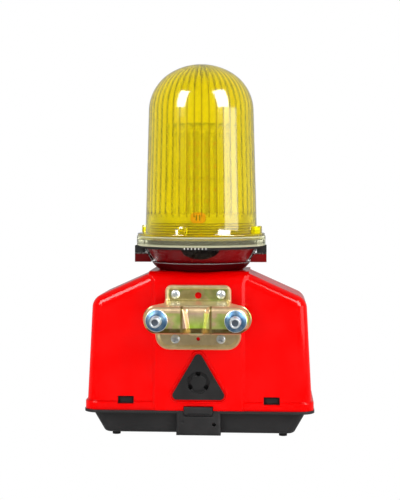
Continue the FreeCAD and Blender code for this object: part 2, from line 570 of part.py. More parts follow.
def tray():
    base, top = d.tray_base_z, d.hood_base_z - 0.1
    wall = d.tray_wall
    leans = lambda e: abs(e.Vertexes[0].Z - e.Vertexes[-1].Z) > 5
    outer = frustum("tray_out", d.tray_low_half, d.tray_low_depth, base, d.tray_high_half, d.tray_high_depth, top)
    outer = rounded("tray_out_corners", outer, d.tray_corner, leans)
    outer = rounded("tray_out_round", outer, 4.0, lambda e: near(middle(e).z, base, 0.01))
    hollow = frustum("tray_in", d.tray_low_half - wall + 0.5, d.tray_low_depth - wall + 0.4, base + wall,
                     d.tray_high_half - wall - 0.3, d.tray_high_depth - wall - 0.3, top + 3)
    hollow = rounded("tray_in_corners", hollow, d.tray_corner - wall, leans)
    lip = box("tray_lip", (-d.lip_half, d.lip_half), (-d.lip_half_depth, d.lip_half_depth),
              (top - d.lip_thick, top))
    lip = rounded("tray_lip_corners", lip, d.hood_edge_round + 3, lambda e: runs_along(e, V(0, 0, 1)))
    stand_x, stand_y = d.upstand_half, d.upstand_half_depth
    stand = box("upstand", (-stand_x, stand_x), (-stand_y, stand_y), (top - 0.5, top + d.upstand_height))
    stand = rounded("upstand_corners", stand, d.hood_edge_round - 2.4, lambda e: runs_along(e, V(0, 0, 1)))
    inner = box("upstand_in", (wall - stand_x, stand_x - wall), (wall - stand_y, stand_y - wall),
                (top - 4, top + d.upstand_height + 1))
    inner = rounded("upstand_in_corners", inner, d.hood_edge_round - 4.8, lambda e: runs_along(e, V(0, 0, 1)))
    pad = box("hasp_pad", (-d.pad_half, d.pad_half), (-d.pad_face_y, -d.tray_low_depth + 0.6), (2.3, top))
    pad = rounded("hasp_pad_round", pad, 2.5,
                  lambda e: near(middle(e).y, -d.pad_face_y, 0.01) and not near(middle(e).z, top, 0.01))
    hooks = []
    for side in (-1, 1):
        for face in (-1, 1):
            reach = (stand_y - 0.5, d.hood_half_depth - d.hood_wall - 0.3)
            y = reach if face > 0 else (-reach[1], -reach[0])
            hooks.append(box(f"hook_{side}_{face}", (d.window_x * side - 6.0, d.window_x * side + 6.0), y,
                             (d.window_low_z + 1.0, d.window_low_z + d.window_height - 1.0)))
    rail_x = d.cell_side + d.cell_gap / 2 + 2
    rails = [box(f"cell_rail_{side}", (rail_x * side - 1.0, rail_x * side + 1.0),
                 (wall - d.tray_low_depth, d.tray_low_depth - wall), (base + wall - 0.5, base + wall + 9))
             for side in (-1, 1)]
    front_wall = (-d.upstand_half_depth, -d.upstand_half_depth + wall)
    keeper = box("lock_keeper", (-24.0, -13.0), front_wall, (top, d.lock_z + 10))
    cam_span = (-stand_y - 1, wall + 1 - stand_y)
    sweep = rod("cam_sweep", d.cam_reach + 1.1, (0, cam_span[0], d.lock_z), cam_span[1] - cam_span[0], "y")
    under = box("cam_sweep_below", (-30.0, 30.0), cam_span, (d.lock_z - 30, d.lock_z + 4.8))
    cam_room = [box("cam_notch", (-13.0, 13.0), cam_span, (d.lock_z, d.lock_z + 20)),
                common("cam_swing", sweep, under)]
    shell = cut("tray_shell", fuse("tray_solid", outer, lip), hollow, inner)
    whole = fuse("tray_whole", shell, cut("upstand_wall", stand, inner), pad, keeper, *hooks, *rails)
    pivot = (-d.hinge_y, d.hinge_z)
    pocket = [rod("hinge_pocket", d.hasp_barrel + 0.3, (-d.hasp_half - 0.3, pivot[0], pivot[1]),
                  d.hasp_half * 2 + 0.6, "x"),
              box("hinge_mouth", (-d.hasp_half - 0.3, d.hasp_half + 0.3),
                  (-d.pad_face_y - 2, pivot[0]), (pivot[1] - d.hasp_barrel - 0.3, top + 1)),
              box("hinge_top", (-d.hasp_half - 0.3, d.hasp_half + 0.3),
                  (pivot[0] - 0.1, pivot[0] + d.hasp_barrel + 0.3), (pivot[1], top + 0.5))]
    bores = [rod("pin_bore", d.hasp_pin_radius + 0.02, (-d.pad_half + 1.5, pivot[0], pivot[1] - 0.0),
                 d.pad_half * 2 - 3, "x"),
             rod("seal_hole", 1.8, (d.pad_half - 6.0, -d.pad_face_y - 1, 12.6), 5, "y"),
             rod("seal_dimple", 1.5, (6.0 - d.pad_half, -d.pad_face_y - 1, 14.6), 1.5, "y")]
    node("battery_tray", cut("battery_tray", whole, *pocket, *bores, *cam_room))
    pin = rod("hasp_pin", d.hasp_pin_radius, (-d.pad_half + 1.6, pivot[0], pivot[1]), d.pad_half * 2 - 3.2, "x")
    node("hasp_pin", pin)
    feet = [rod(f"foot_{i}", d.foot_radius, (d.foot_x * sx, d.foot_y * sy, 0), d.tray_base_z)
            for i, (sx, sy) in enumerate(((-1, -1), (1, -1), (1, 1), (-1, 1)))]
    node("tray_feet", group("tray_feet", feet))
    seal_out = box("seal_out", (-stand_x - 1.2, stand_x + 1.2), (-stand_y - 0.6, stand_y + 0.6),
                   (top + 0.05, top + 1.6))
    seal_in = box("seal_in", (-stand_x - 0.05, stand_x + 0.05), (-stand_y - 0.05, stand_y + 0.05),
                  (top - 1, top + 3))
    seal_out = rounded("seal_out_corners", seal_out, 8.0, lambda e: runs_along(e, V(0, 0, 1)))
    seal_in = rounded("seal_in_corners", seal_in, 8.0, lambda e: runs_along(e, V(0, 0, 1)))
    notch = box("seal_notch", (-d.notch_half - 1, d.notch_half + 1), (-60.0, 2 - stand_y), (top - 1, top + 3))
    node("tray_seal", cut("tray_seal", seal_out, seal_in, notch))


def hasp():
    """The snap tongue that swings down off the hood's foot. Its nib sits in a notch of the hood."""
    y, z = -d.hinge_y, d.hinge_z
    front = y - d.hasp_barrel
    barrel = rod("hasp_barrel", d.hasp_barrel, (-d.hasp_half, y, z), d.hasp_half * 2, "x")
    plate = box("hasp_plate", (-d.hasp_half, d.hasp_half), (front, front + d.hasp_thick), (z, d.hasp_top_z))
    plate = rounded("hasp_plate_round", plate, 0.8, lambda e: near(middle(e).z, d.hasp_top_z, 0.01))
    nib = box("hasp_nib", (-6.0, 6.0), (front + 1, y + 1.6), (d.hood_base_z + 0.9, d.hood_base_z + 2.9))
    groove = box("hasp_groove", (-10.0, 10.0), (front - 1, front + 0.9), (z - 1.4, z - 0.3))
    bore = rod("hasp_bore", d.hasp_pin_radius + 0.05, (-d.hasp_half - 1, y, z), d.hasp_half * 2 + 2, "x")
    node("hasp", cut("hasp", fuse("hasp_whole", barrel, plate, nib), groove, bore))


def batteries():
    for name, side in (("battery_left", -1), ("battery_right", 1)):
        span = (d.cell_gap / 2, d.cell_gap / 2 + d.cell_side)
        span = span if side > 0 else (-span[1], -span[0])
        half = d.cell_side / 2
        case = box(name + "_case", span, (-half, half), (d.cell_floor_z, d.cell_floor_z + d.cell_height))
        case = rounded(name + "_round", case, d.cell_round, lambda e: True)
        node(name, case)
        springs = []
        for i, (dx, dy) in enumerate(((0, 0), (22, 22))):
            x, y = (d.cell_gap / 2 + half) * side + dx * -side, Size.of(dy)
            foot = d.cell_floor_z + d.cell_height + 0.02
            helix = doc.addObject("Part::Helix", f"{name}_helix_{i}")
            helix.Pitch = d.spring_pitch.value
            helix.Height = d.spring_pitch.value * SPRING_TURNS
            helix.Radius = d.spring_radius.value
            helix.Angle = -d.spring_lean.value
            place(helix, x, y, foot + d.spring_wire)
            wire = doc.addObject("Part::Circle", f"{name}_wire_{i}")
            bind(wire, "Radius", d.spring_wire)
            place(wire, x + d.spring_radius, y, foot + d.spring_wire, axis=(1, 0, 0), turn=90)
            coil = doc.addObject("Part::Sweep", f"{name}_coil_{i}")
            coil.Sections = [wire]
            coil.Spine = (helix, [])
            coil.Solid = True
            coil.Frenet = True
            springs.append(coil)
        node(name.replace("battery", "battery_springs"), group(name + "_springs", springs))


# ---------------------------------------------------------------- inside of the hood
def contacts():
    low = d.cell_floor_z + d.cell_height + 7.2
    board = box("contact_plate", (-66.0, 66.0), (-30.0, 32.0), (low + 1.0, low + 3.0))
    board = rounded("contact_plate_round", board, 5.0, lambda e: runs_along(e, V(0, 0, 1)))
    hole = rod("contact_lead_hole", 6.0, (0, 0, low), 6)
    node("contact_board", cut("contact_board", board, hole))
    strips = []
    for side in (-1, 1):
        centre = (d.cell_gap / 2 + d.cell_side / 2) * side
        strips.append(box(f"strip_mid_{side}", (centre - 9.5, centre + 9.5), (-9.5, 9.5), (low + 0.2, low + 0.95)))
        corner = centre - 22 * side
        strips.append(box(f"strip_corner_{side}", (corner - 9.0, corner + 9.0), (13.0, 31.0),
                          (low + 0.2, low + 0.95)))
    node("contact_strips", group("contact_strips", strips))
    posts = []
    for sx in (-1, 1):
        for sy in (-1, 1):
            x, y = Size.of(50.0 * sx), Size.of(26.0 * sy)
            posts.append(rod(f"board_post_{sx}_{sy}", 3.2, (x, y, low + 3.05), d.roof_z - low))
    roof_in = hood_block("post_limit", d.hood_wall + 0.1)
    node("board_posts", group("board_posts", [common(f"post_{i}", p, roof_in) for i, p in enumerate(posts)]))


def supply_leads():
    """Two insulated leads from the contact board up through the neck to the driver board."""
    low = d.cell_floor_z + d.cell_height + 10.3
    leads = []
    for name, side in (("lead_plus", -1), ("lead_minus", 1)):
        foot = V(9.0 * side, 0, low.value)
        knee = V(9.0 * side, 0, low.value + 12)
        bend = V(4.0 * side, 0, low.value + 26)
        end = V(4.0 * side, 0, d.board_z.value - 0.05)
        path = Part.Wire([Part.LineSegment(foot, knee).toShape(), Part.LineSegment(knee, bend).toShape(),
                          Part.LineSegment(bend, end).toShape()])
        ring = Part.Wire([Part.Circle(foot, V(0, 0, 1), 1.1).toShape()])
        tube = path.makePipeShell([ring], True, False, 2)
        lead = doc.addObject("Part::Feature", name)
        lead.Shape = tube
        leads.append(lead)
    node("supply_leads", group("supply_leads", leads))


# ---------------------------------------------------------------- lamp head
def head():
    floor = d.head_low_z
    bowl = [(d.neck_hole_radius + 1, floor), (d.bowl_foot_radius, floor, Size.of(-22.0)),
            (d.bowl_turn_radius, d.bowl_turn_z), (d.bowl_top_radius, d.bowl_top_z),
            (d.bowl_top_radius, d.ring_low_z), (d.ring_radius, d.ring_low_z), (d.ring_radius, d.ring_top_z),
            (d.ring_radius - d.ring_wall, d.ring_top_z), (d.ring_radius - d.ring_wall, d.ring_floor_z),
            (d.bowl_top_radius - d.bowl_wall, d.ring_floor_z), (d.bowl_top_radius - d.bowl_wall, d.bowl_top_z),
            (d.bowl_turn_radius - d.bowl_wall, d.bowl_turn_z + d.bowl_wall * 0.5),
            (d.bowl_foot_radius - d.bowl_wall, floor + d.bowl_wall), (d.neck_hole_radius + 1, floor + d.bowl_wall)]
    shell = spun("bowl_turned", bowl)
    holes = [rod(f"bowl_hole_{i}", 2.1, (x, y, floor - 1), 6)
             for i, (x, y) in enumerate(around(Size.of(25.0), 3, 90))]
    holes += [rod(f"lug_hole_{side}", 2.1, ((d.lug_inner + 4.6) * side, 0, d.ring_low_z - 2), 12)
              for side in (-1, 1)]
    node("head_bowl", cut("head_bowl", shell, *holes))
    wall, inner = 2.0, d.bowl_wall + 0.3
    liner = [(32.0, floor + inner), (d.bowl_foot_radius - inner - 0.6, floor + inner),
             (d.bowl_turn_radius - inner - 0.3, d.bowl_turn_z + 0.9), (d.bowl_top_radius - inner, d.bowl_top_z),
             (d.bowl_top_radius - inner, d.ring_low_z - 0.5), (d.bowl_top_radius - inner - wall, d.ring_low_z - 0.5),
             (d.bowl_top_radius - inner - wall, d.bowl_top_z + 0.4),
             (d.bowl_turn_radius - inner - wall - 0.3, d.bowl_turn_z + 1.9),
             (d.bowl_foot_radius - inner - 1.4, floor + inner + wall), (32.0, floor + inner + wall)]
    node("bowl_liner", spun("bowl_liner", liner))
    screws = [upright_screw(f"head_screw_{i}", x, y, floor + d.bowl_wall + 0.02, 3.6, 2.4, 2.0, 8.0)
              for i, (x, y) in enumerate(around(Size.of(25.0), 3, 90))]
    node("head_screws", group("head_screws", screws))
    bush = spun("neck_bush", [(d.neck_hole_radius - 3.0, d.roof_z - 6), (d.neck_hole_radius - 0.2, d.roof_z - 6),
                              (d.neck_hole_radius - 0.2, floor + d.bowl_wall + 0.1),
                              (d.neck_hole_radius + 3.0, floor + d.bowl_wall + 0.1),
                              (d.neck_hole_radius + 3.0, floor + d.bowl_wall + 1.6),
                              (d.neck_hole_radius - 3.0, floor + d.bowl_wall + 1.6)])
    node("neck_bush", bush)
    gasket = spun("gasket_turned",
                  [(d.bowl_top_radius + 0.1, d.ring_low_z - 2.2), (d.ring_radius - 2.2, d.ring_low_z - 2.2),
                   (d.ring_radius - 1.4, d.ring_low_z - 0.05), (d.bowl_top_radius + 0.1, d.ring_low_z - 0.05)])
    pad_space = [box(f"gasket_space_{side}", ((d.lug_inner - 3) * side, (d.lug_outer + 3) * side) if side > 0
                     else ((d.lug_outer + 3) * side, (d.lug_inner - 3) * side),
                     (-d.lug_half_depth - 0.3, d.lug_half_depth + 0.3), (d.ring_low_z - 4, d.ring_low_z + 1))
                 for side in (-1, 1)]
    node("ring_gasket", cut("ring_gasket", gasket, *pad_space))
    washers = []
    for name, side in (("lug_left", -1), ("lug_right", 1)):
        span = (d.lug_inner, d.lug_outer) if side > 0 else (-d.lug_outer, -d.lug_inner)
        depth = (-d.lug_half_depth, d.lug_half_depth)
        keep_out = rod(name + "_bowl_space", d.bowl_top_radius + 0.3, (0, 0, d.lug_low_z - 1), 40)
        under = doc.addObject("Part::Cone", name + "_bowl_lean")
        bind(under, "Radius1", d.bowl_turn_radius + 0.4)
        bind(under, "Radius2", d.bowl_top_radius + 0.4)
        bind(under, "Height", d.bowl_top_z - d.bowl_turn_z)
        place(under, 0, 0, d.bowl_turn_z)
        foot = rod(name + "_bowl_foot", d.bowl_turn_radius + 0.4, (0, 0, d.lug_low_z - 1), 2)
        near_bowl = (d.bowl_turn_radius, d.lug_outer) if side > 0 else (-d.lug_outer, -d.bowl_turn_radius)
        lug = box(name + "_block", near_bowl, depth, (d.lug_low_z, d.lug_high_z))
        hole = rod(name + "_hole", 2.05, ((d.lug_inner + 4.6) * side, 0, d.lug_low_z - 1), 30)
        sink = rod(name + "_sink", d.cap_radius + 0.3, ((d.lug_inner + 4.6) * side, 0, d.lug_low_z - 1),
                   d.cap_depth + 1)
        node(name, cut(name, lug, under, foot, hole, sink))
        packing_top = d.lug_high_z + d.washer_sheet
        packing = box(name + "_packing", span, depth, (d.lug_high_z + 0.02, packing_top))
        washers.append(cut(name + "_packing_cut", packing, keep_out, hole))
        cushion = box(name + "_cushion", span, depth, (packing_top + 0.02, d.ring_low_z - 0.02))
        node(name.replace("lug", "lug_pad"), cut(name + "_pad_block", cushion, keep_out, hole))
    node("lug_washers", group("lug_washers", washers))
    lug_screws = []
    for side in (-1, 1):
        x = (d.lug_inner + 4.6) * side
        seat = d.lug_low_z + d.cap_depth
        stem = rod(f"lug_screw_stem_{side}", 2.0, (x, 0, seat - 0.5), d.ring_floor_z - seat - 0.1)
        cap = rod(f"lug_screw_cap_{side}", d.cap_radius, (x, 0, seat - 2.2), 2.18)
        lug_screws.append(fuse(f"lug_screw_{side}", stem, cap))
    node("lug_screws", group("lug_screws", lug_screws))


def drum():
    """Deck that closes the bowl, the driver board hung under it, and the ribbed collar and drum on top of it."""
    deck_top, wall = d.ring_floor_z, d.drum_wall
    rim = d.bowl_top_radius - d.bowl_wall - 0.15
    deck = spun("deck_turned", [(6.0, deck_top - 2.4), (rim - 2.0, deck_top - 2.4), (rim - 2.0, d.ring_low_z - 0.4),
                                (rim, d.ring_low_z - 0.4), (rim, deck_top), (6.0, deck_top)])
    node("head_deck", deck)
    low, step, top = deck_top + 0.05, d.drum_step_z, d.drum_top_z
    outline = [(d.collar_radius - wall, low), (d.collar_radius, low)]
    for turn in range(6):
        z = low + 1 + d.collar_pitch * turn
        outline += [(d.collar_radius, z), (d.collar_radius + 1.1, z + 0.5), (d.collar_radius + 1.1, z + 1.2),
                    (d.collar_radius, z + 1.7)]
    outline += [(d.collar_radius, step - 0.05), (d.collar_radius - wall, step - 0.05)]
    node("ribbed_collar", spun("ribbed_collar", outline))
    cup = spun("drum_cup", [(16.0, top - wall), (d.drum_radius - wall, top - wall), (d.drum_radius - wall, step),
                            (d.collar_radius, step), (d.collar_radius, step + wall),
                            (d.drum_radius, step + wall), (d.drum_radius, top), (16.0, top)])
    spots = list(around(d.drum_radius - 4.2, 4, 0))
    holes = [rod(f"drum_screw_hole_{i}", 1.5, (x, y, top - 4), 8) for i, (x, y) in enumerate(spots)]
    sensor_y = (-d.sensor_face_y, -d.drum_radius + 2)
    seat = box("sensor_seat", (-d.sensor_half - 0.1, d.sensor_half + 0.1), (-d.collar_radius - 1, sensor_y[1]),
               (step - 1, step + wall + 0.05))
    holes.append(cut("sensor_notch", seat, rod("drum_keep", d.drum_radius, (0, 0, step - 2), 20)))
    drum_space = rod("drum_space", d.drum_radius + 0.05, (0, 0, step - 1), 20)
    node("reflector_drum", cut("reflector_drum", cup, *holes))
    sensor = box("sensor_block", (-d.sensor_half, d.sensor_half), sensor_y, (step + 0.1, step + d.sensor_height))
    sensor = rounded("sensor_round", sensor, 3.6, lambda e: runs_along(e, V(0, 1, 0)))
    eye_depth = (-d.sensor_face_y - 1, 0.6 - d.sensor_face_y)
    eyes = [box(f"sensor_eye_{side}", (1.5 * side - 0.5, 1.5 * side + 0.5), eye_depth, (step + 2.8, step + 7.4))
            for side in (-1, 1)]
    node("light_sensor", cut("light_sensor", sensor, drum_space, *eyes))
    screws = [upright_screw(f"drum_screw_{i}", x, y, top + 0.02, 2.6, 1.8, 1.4, 1.6)
              for i, (x, y) in enumerate(spots)]
    node("drum_screws", group("drum_screws", screws))
    board = rod("driver_disc", 38.0, (0, 0, d.board_z), 1.6)
    face = d.board_z + 1.5
    parts = [rod("capacitor", 5.0, (18.0, 8.0, face), 9.0),
             box("coil_block", (-22.0, -10.0), (-8.0, 6.0), (face, face + 7)),
             box("controller_chip", (4.0, 14.0), (-18.0, -10.0), (face, face + 1.8))]
    node("driver_board", fuse("driver_board", board, *parts))
    pillars = [rod(f"board_pillar_{i}", 2.6, (x, y, d.board_z + 1.65), deck_top - 2.45 - d.board_z - 1.65)
               for i, (x, y) in enumerate(around(Size.of(32.0), 3, 30))]
    node("board_pillars", group("board_pillars", pillars))


def optics():
    top = d.drum_top_z
    band = d.optic_band_z
    tube = [(d.optic_radius - d.optic_wall, top + 0.05), (d.optic_radius, top + 0.05),
            (d.optic_radius, band - 2), (d.optic_radius + 1.2, band - 1), (d.optic_radius + 1.2, band + 1),
            (d.optic_radius, band + 2), (d.optic_radius, d.optic_top_z - 12), (d.optic_radius + 1.2, d.optic_top_z - 11),
            (d.optic_radius + 1.2, d.optic_top_z - 9), (d.optic_radius, d.optic_top_z - 8),
            (d.optic_radius, d.optic_top_z - 4), (d.optic_radius + 1.2, d.optic_top_z - 3),
            (d.optic_radius + 1.2, d.optic_top_z - 1), (d.optic_radius, d.optic_top_z),
            (6.0, d.optic_top_z), (6.0, d.optic_top_z - d.optic_wall),
            (d.optic_radius - d.optic_wall, d.optic_top_z - d.optic_wall)]
    node("optic_tube", spun("optic_tube", tube))
    foot = d.ring_floor_z + 0.05
    post = spun("post_turned", [(0, foot), (15.6, foot), (15.6, top), (d.post_radius, top + 1),
                                (d.post_radius, d.post_top_z), (0, d.post_top_z)])
    node("led_post", post)
    leds = []
    for row in range(6):
        z = top + 12 + 11.0 * row
        for i in range(4):
            chip = box(f"led_{row}_{i}", (d.post_radius + 0.02, d.post_radius + 1.6), (-1.8, 1.8), (z - 1.8, z + 1.8))
            leds.append(turned(chip, 90 * i + 45 * (row % 2)))
    node("led_chips", group("led_chips", leds))


# ---------------------------------------------------------------- lens
def lens():
    """Domed lens: a leaning wall, a side arc and a crown arc centred on the axis, with a flange and four tabs."""
    low, wall = d.lens_low_z, d.lens_wall
    meet_in_r = d.arc_meet_r - wall * MEET_SIN
    meet_in_z = d.arc_meet_z - wall * MEET_COS
    outline = [(d.lens_foot_radius - wall, low), (d.lens_flange_radius, low),
               (d.lens_flange_radius, d.lens_rim_low_z), (d.lens_rim_radius, d.lens_rim_low_z),
               (d.lens_rim_radius, d.lens_rim_top_z), (d.lens_foot_radius, d.lens_rim_top_z),
               (d.lens_top_radius, d.lens_tangent_z, -d.side_arc),
               (d.arc_meet_r, d.arc_meet_z, -d.crown_arc, True), (0, d.lens_top_z),
               (0, d.lens_top_z - wall, d.crown_arc - wall, True),
               (meet_in_r, meet_in_z, d.side_arc - wall), (d.lens_top_radius - wall, d.lens_tangent_z)]
    shell = spun("lens_shell", outline)
    tabs = []
    for i, angle in enumerate(TAB_ANGLES):
        tab = box(f"lens_tab_{i}", (d.lens_foot_radius - 1.2, d.lens_rim_radius - 1.6), (-4.0, 4.0),
                  (d.lens_rim_top_z - 0.5, d.tab_top_z))
        tabs.append(turned(tab, angle))
    node("lens", fuse("lens", shell, *tabs))


# ---------------------------------------------------------------- build, check and write
def check_and_write():
    doc.recompute()
    faulty = [o.Label for o in doc.Objects if "Invalid" in o.State or "Error" in o.State]
    if faulty:
        raise SystemExit(f"these features failed: {faulty}")
    os.makedirs("parts", exist_ok=True)
    for old in os.listdir("parts"):
        os.remove(os.path.join("parts", old))
    for made in NODES:
        shape = made.Shape
        if shape.isNull() or not shape.isValid() or not shape.Solids:
            raise SystemExit(f"{made.Label} has no valid solid")
        shape.exportStep(f"parts/{made.Label}.step")
        print(f"{made.Label:24s} solids {len(shape.Solids):3d}  volume {shape.Volume / 1000:9.2f} cm3")


def main():
    fill_sheet()
    hood()
    mounting_plate()
    clamp()
    key_lock()
    tray()
    hasp()
    batteries()
    contacts()
    supply_leads()
    head()
    drum()
    optics()
    lens()
    check_and_write()


main()
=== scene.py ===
"""A battery warning lamp: its finishes, its shaped pieces and the studio it stands in."""
import math

import bmesh
import bpy
from mathutils import Matrix, Vector

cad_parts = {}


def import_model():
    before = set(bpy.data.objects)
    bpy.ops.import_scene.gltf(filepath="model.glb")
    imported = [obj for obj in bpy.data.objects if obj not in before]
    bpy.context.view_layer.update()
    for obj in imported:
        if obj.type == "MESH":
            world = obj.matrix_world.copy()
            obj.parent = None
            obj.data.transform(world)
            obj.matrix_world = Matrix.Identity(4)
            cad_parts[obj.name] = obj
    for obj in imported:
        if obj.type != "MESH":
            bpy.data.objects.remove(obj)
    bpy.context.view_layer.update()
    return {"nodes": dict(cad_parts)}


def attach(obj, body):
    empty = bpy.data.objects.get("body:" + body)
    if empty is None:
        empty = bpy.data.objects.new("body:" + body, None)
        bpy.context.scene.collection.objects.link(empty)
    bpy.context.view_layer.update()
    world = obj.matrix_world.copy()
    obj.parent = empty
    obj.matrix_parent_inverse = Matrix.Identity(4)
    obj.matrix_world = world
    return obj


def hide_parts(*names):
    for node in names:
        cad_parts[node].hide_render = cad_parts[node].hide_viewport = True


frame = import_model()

NODES = frame["nodes"]
MM = 0.001
WHITE = (1, 1, 1, 1)

# Sizes that the finishes share with the shapes, in millimetres
FLUTES = 46
FLUTE_FOOT = 206.4
BOLT_X, BOLT_Z = 35.4, 111.5
PLATE_LOW, PLATE_TOP = 81.6, 141.2
RING_BOTTOM, RING_TOP = 176.0, 185.4
RIB_START, RIB_PITCH = 183.4, 2.55
STRAP_PLATE_GAP = -69.0

# The Mix node's sockets when it mixes colours
MIX_FIRST, MIX_SECOND, MIX_OUT = 6, 7, 2


# ---------------------------------------------------------------- finishes
class Finish:
    """A Principled finish whose patterns lie on Object coordinates, with sizes in millimetres."""

    def __init__(self, name, colour, roughness, metallic=0.0, **constants):
        self.material = bpy.data.materials.new(name)
        self.material.use_nodes = True
        self.nodes = self.material.node_tree.nodes
        self.links = self.material.node_tree.links
        self.shader = self.nodes["Principled BSDF"]
        self.shader.inputs["Base Color"].default_value = (*colour, 1)
        self.shader.inputs["Roughness"].default_value = roughness
        self.shader.inputs["Metallic"].default_value = metallic
        for socket, value in constants.items():
            self.shader.inputs[socket.replace("_", " ")].default_value = value

    def node(self, kind, inputs=(), **settings):
        """A node with its settings, and its inputs linked or set in order."""
        made = self.nodes.new(kind)
        for key, value in settings.items():
            setattr(made, key, value)
        for socket, value in inputs:
            if isinstance(value, bpy.types.NodeSocket):
                self.links.new(value, made.inputs[socket])
            else:
                made.inputs[socket].default_value = value
        return made

    def place(self, stretch=(1, 1, 1), turn=(0, 0, 0)):
        """Object coordinates in millimetres, stretched or turned."""
        where = self.node("ShaderNodeTexCoord")
        scale = tuple(s / MM for s in stretch)
        return self.node("ShaderNodeMapping", [("Vector", where.outputs["Object"]), ("Scale", scale),
                                               ("Rotation", turn)]).outputs["Vector"]

    def cloud(self, size, detail=3.0, stretch=(1, 1, 1), turn=(0, 0, 0)):
        """Soft noise from 0 to 1 whose patches are about size across."""
        return self.node("ShaderNodeTexNoise", [("Vector", self.place(stretch, turn)), ("Scale", 1 / size),
                                                ("Detail", detail)]).outputs["Fac"]

    def ramp(self, source, *stops):
        """Colours or greys along source, as (position, value) stops."""
        made = self.node("ShaderNodeValToRGB", [("Fac", source)])
        stock = made.color_ramp.elements
        while len(stock) < len(stops):
            stock.new(0.5)
        for spot, (position, value) in zip(stock, sorted(stops, key=lambda stop: stop[0])):
            spot.position = position
            spot.color = (*value, 1) if isinstance(value, tuple) else (value, value, value, 1)
        return made.outputs["Color"]

    def blend(self, share, first, second):
        """first where share is 0, second where it is 1. Either may be a socket or a colour."""
        inputs = [(0, share)]
        for index, value in ((MIX_FIRST, first), (MIX_SECOND, second)):
            inputs.append((index, (*value, 1) if isinstance(value, tuple) else value))
        return self.node("ShaderNodeMix", inputs, data_type="RGBA").outputs[MIX_OUT]

    def math(self, operation, *values):
        return self.node("ShaderNodeMath", list(enumerate(values)), operation=operation).outputs[0]

    def along(self, axis):
        """Distance along one object axis, in millimetres."""
        return self.node("ShaderNodeSeparateXYZ", [("Vector", self.place())]).outputs[axis]

    def within(self, source, low, high, soft):
        """1 where source lies between low and high, falling to 0 over soft on both sides."""
        rise = self.node("ShaderNodeMapRange", [("Value", source), ("From Min", low - soft), ("From Max", low)])
        fall = self.node("ShaderNodeMapRange", [("Value", source), ("From Min", high), ("From Max", high + soft),
                                                ("To Min", 1.0), ("To Max", 0.0)])
        return self.math("MULTIPLY", rise.outputs["Result"], fall.outputs["Result"])

    def colour(self, source):
        self.links.new(source, self.shader.inputs["Base Color"])

    def gloss(self, source, low, high):
        """Roughness from low to high over the middle of source."""
        spread = self.node("ShaderNodeMapRange", [("Value", source), ("From Min", 0.3), ("From Max", 0.7),
                                                  ("To Min", low), ("To Max", high)])
        self.links.new(spread.outputs["Result"], self.shader.inputs["Roughness"])

    def relief(self, source, height, edge=0.0):
        """Bumps of that height, over edges eased by a small radius. Returns the whole finish."""
        inputs = [("Height", source), ("Distance", height * MM), ("Strength", 1.0)]
        if edge:
            eased = self.node("ShaderNodeBevel", [("Radius", edge * MM)], samples=4)
            inputs.append(("Normal", eased.outputs["Normal"]))
        self.links.new(self.node("ShaderNodeBump", inputs).outputs["Normal"], self.shader.inputs["Normal"])
        return self

    def scratches(self, turn):
        """Sparse hairlines that run along one direction, from 0 to 1."""
        lines = self.cloud(1.4, 2.0, (1.0, 1.0, 0.03), turn)
        gate = self.cloud(30.0, 1.0)
        thin = self.ramp(lines, (0.66, 0.0), (0.71, 1.0))
        return self.math("MULTIPLY", thin, self.ramp(gate, (0.5, 0.0), (0.62, 1.0)))


def red_moulding():
    made = Finish("gloss_red_moulding", (0.74, 0.0, 0.0), 0.12, Specular_IOR_Level=0.2)
    made.colour(made.ramp(made.cloud(55, 2), (0.3, (0.70, 0.0, 0.0)), (0.7, (0.78, 0.0, 0.0))))
    wear = made.scratches((0.4, 0.9, 0.2))
    made.gloss(made.math("ADD", made.cloud(18, 4), made.math("MULTIPLY", wear, 0.6)), 0.09, 0.15)
    return made.relief(made.cloud(1.6, 2), 0.006, 0.9)


def charcoal_moulding(name, grey, coarse, edge):
    """Spark-eroded black plastic with slightly polished high spots."""
    made = Finish(name, (grey, grey, grey), 0.5, Specular_IOR_Level=0.38)
    low, high = (grey * 0.86, grey * 0.84, grey * 0.86), (grey * 1.15, grey * 1.1, grey * 1.12)
    made.colour(made.ramp(made.cloud(22, 3), (0.3, low), (0.7, high)))
    made.gloss(made.cloud(9, 4), 0.42, 0.56)
    return made.relief(made.cloud(coarse, 3), 0.02, edge)


def rubber():
    made = Finish("seal_rubber", (0.012, 0.012, 0.012), 0.68, Specular_IOR_Level=0.3)
    made.colour(made.ramp(made.cloud(8, 3), (0.3, (0.010, 0.010, 0.010)), (0.7, (0.018, 0.017, 0.016))))
    return made.relief(made.cloud(0.8, 2), 0.015, 0.4)


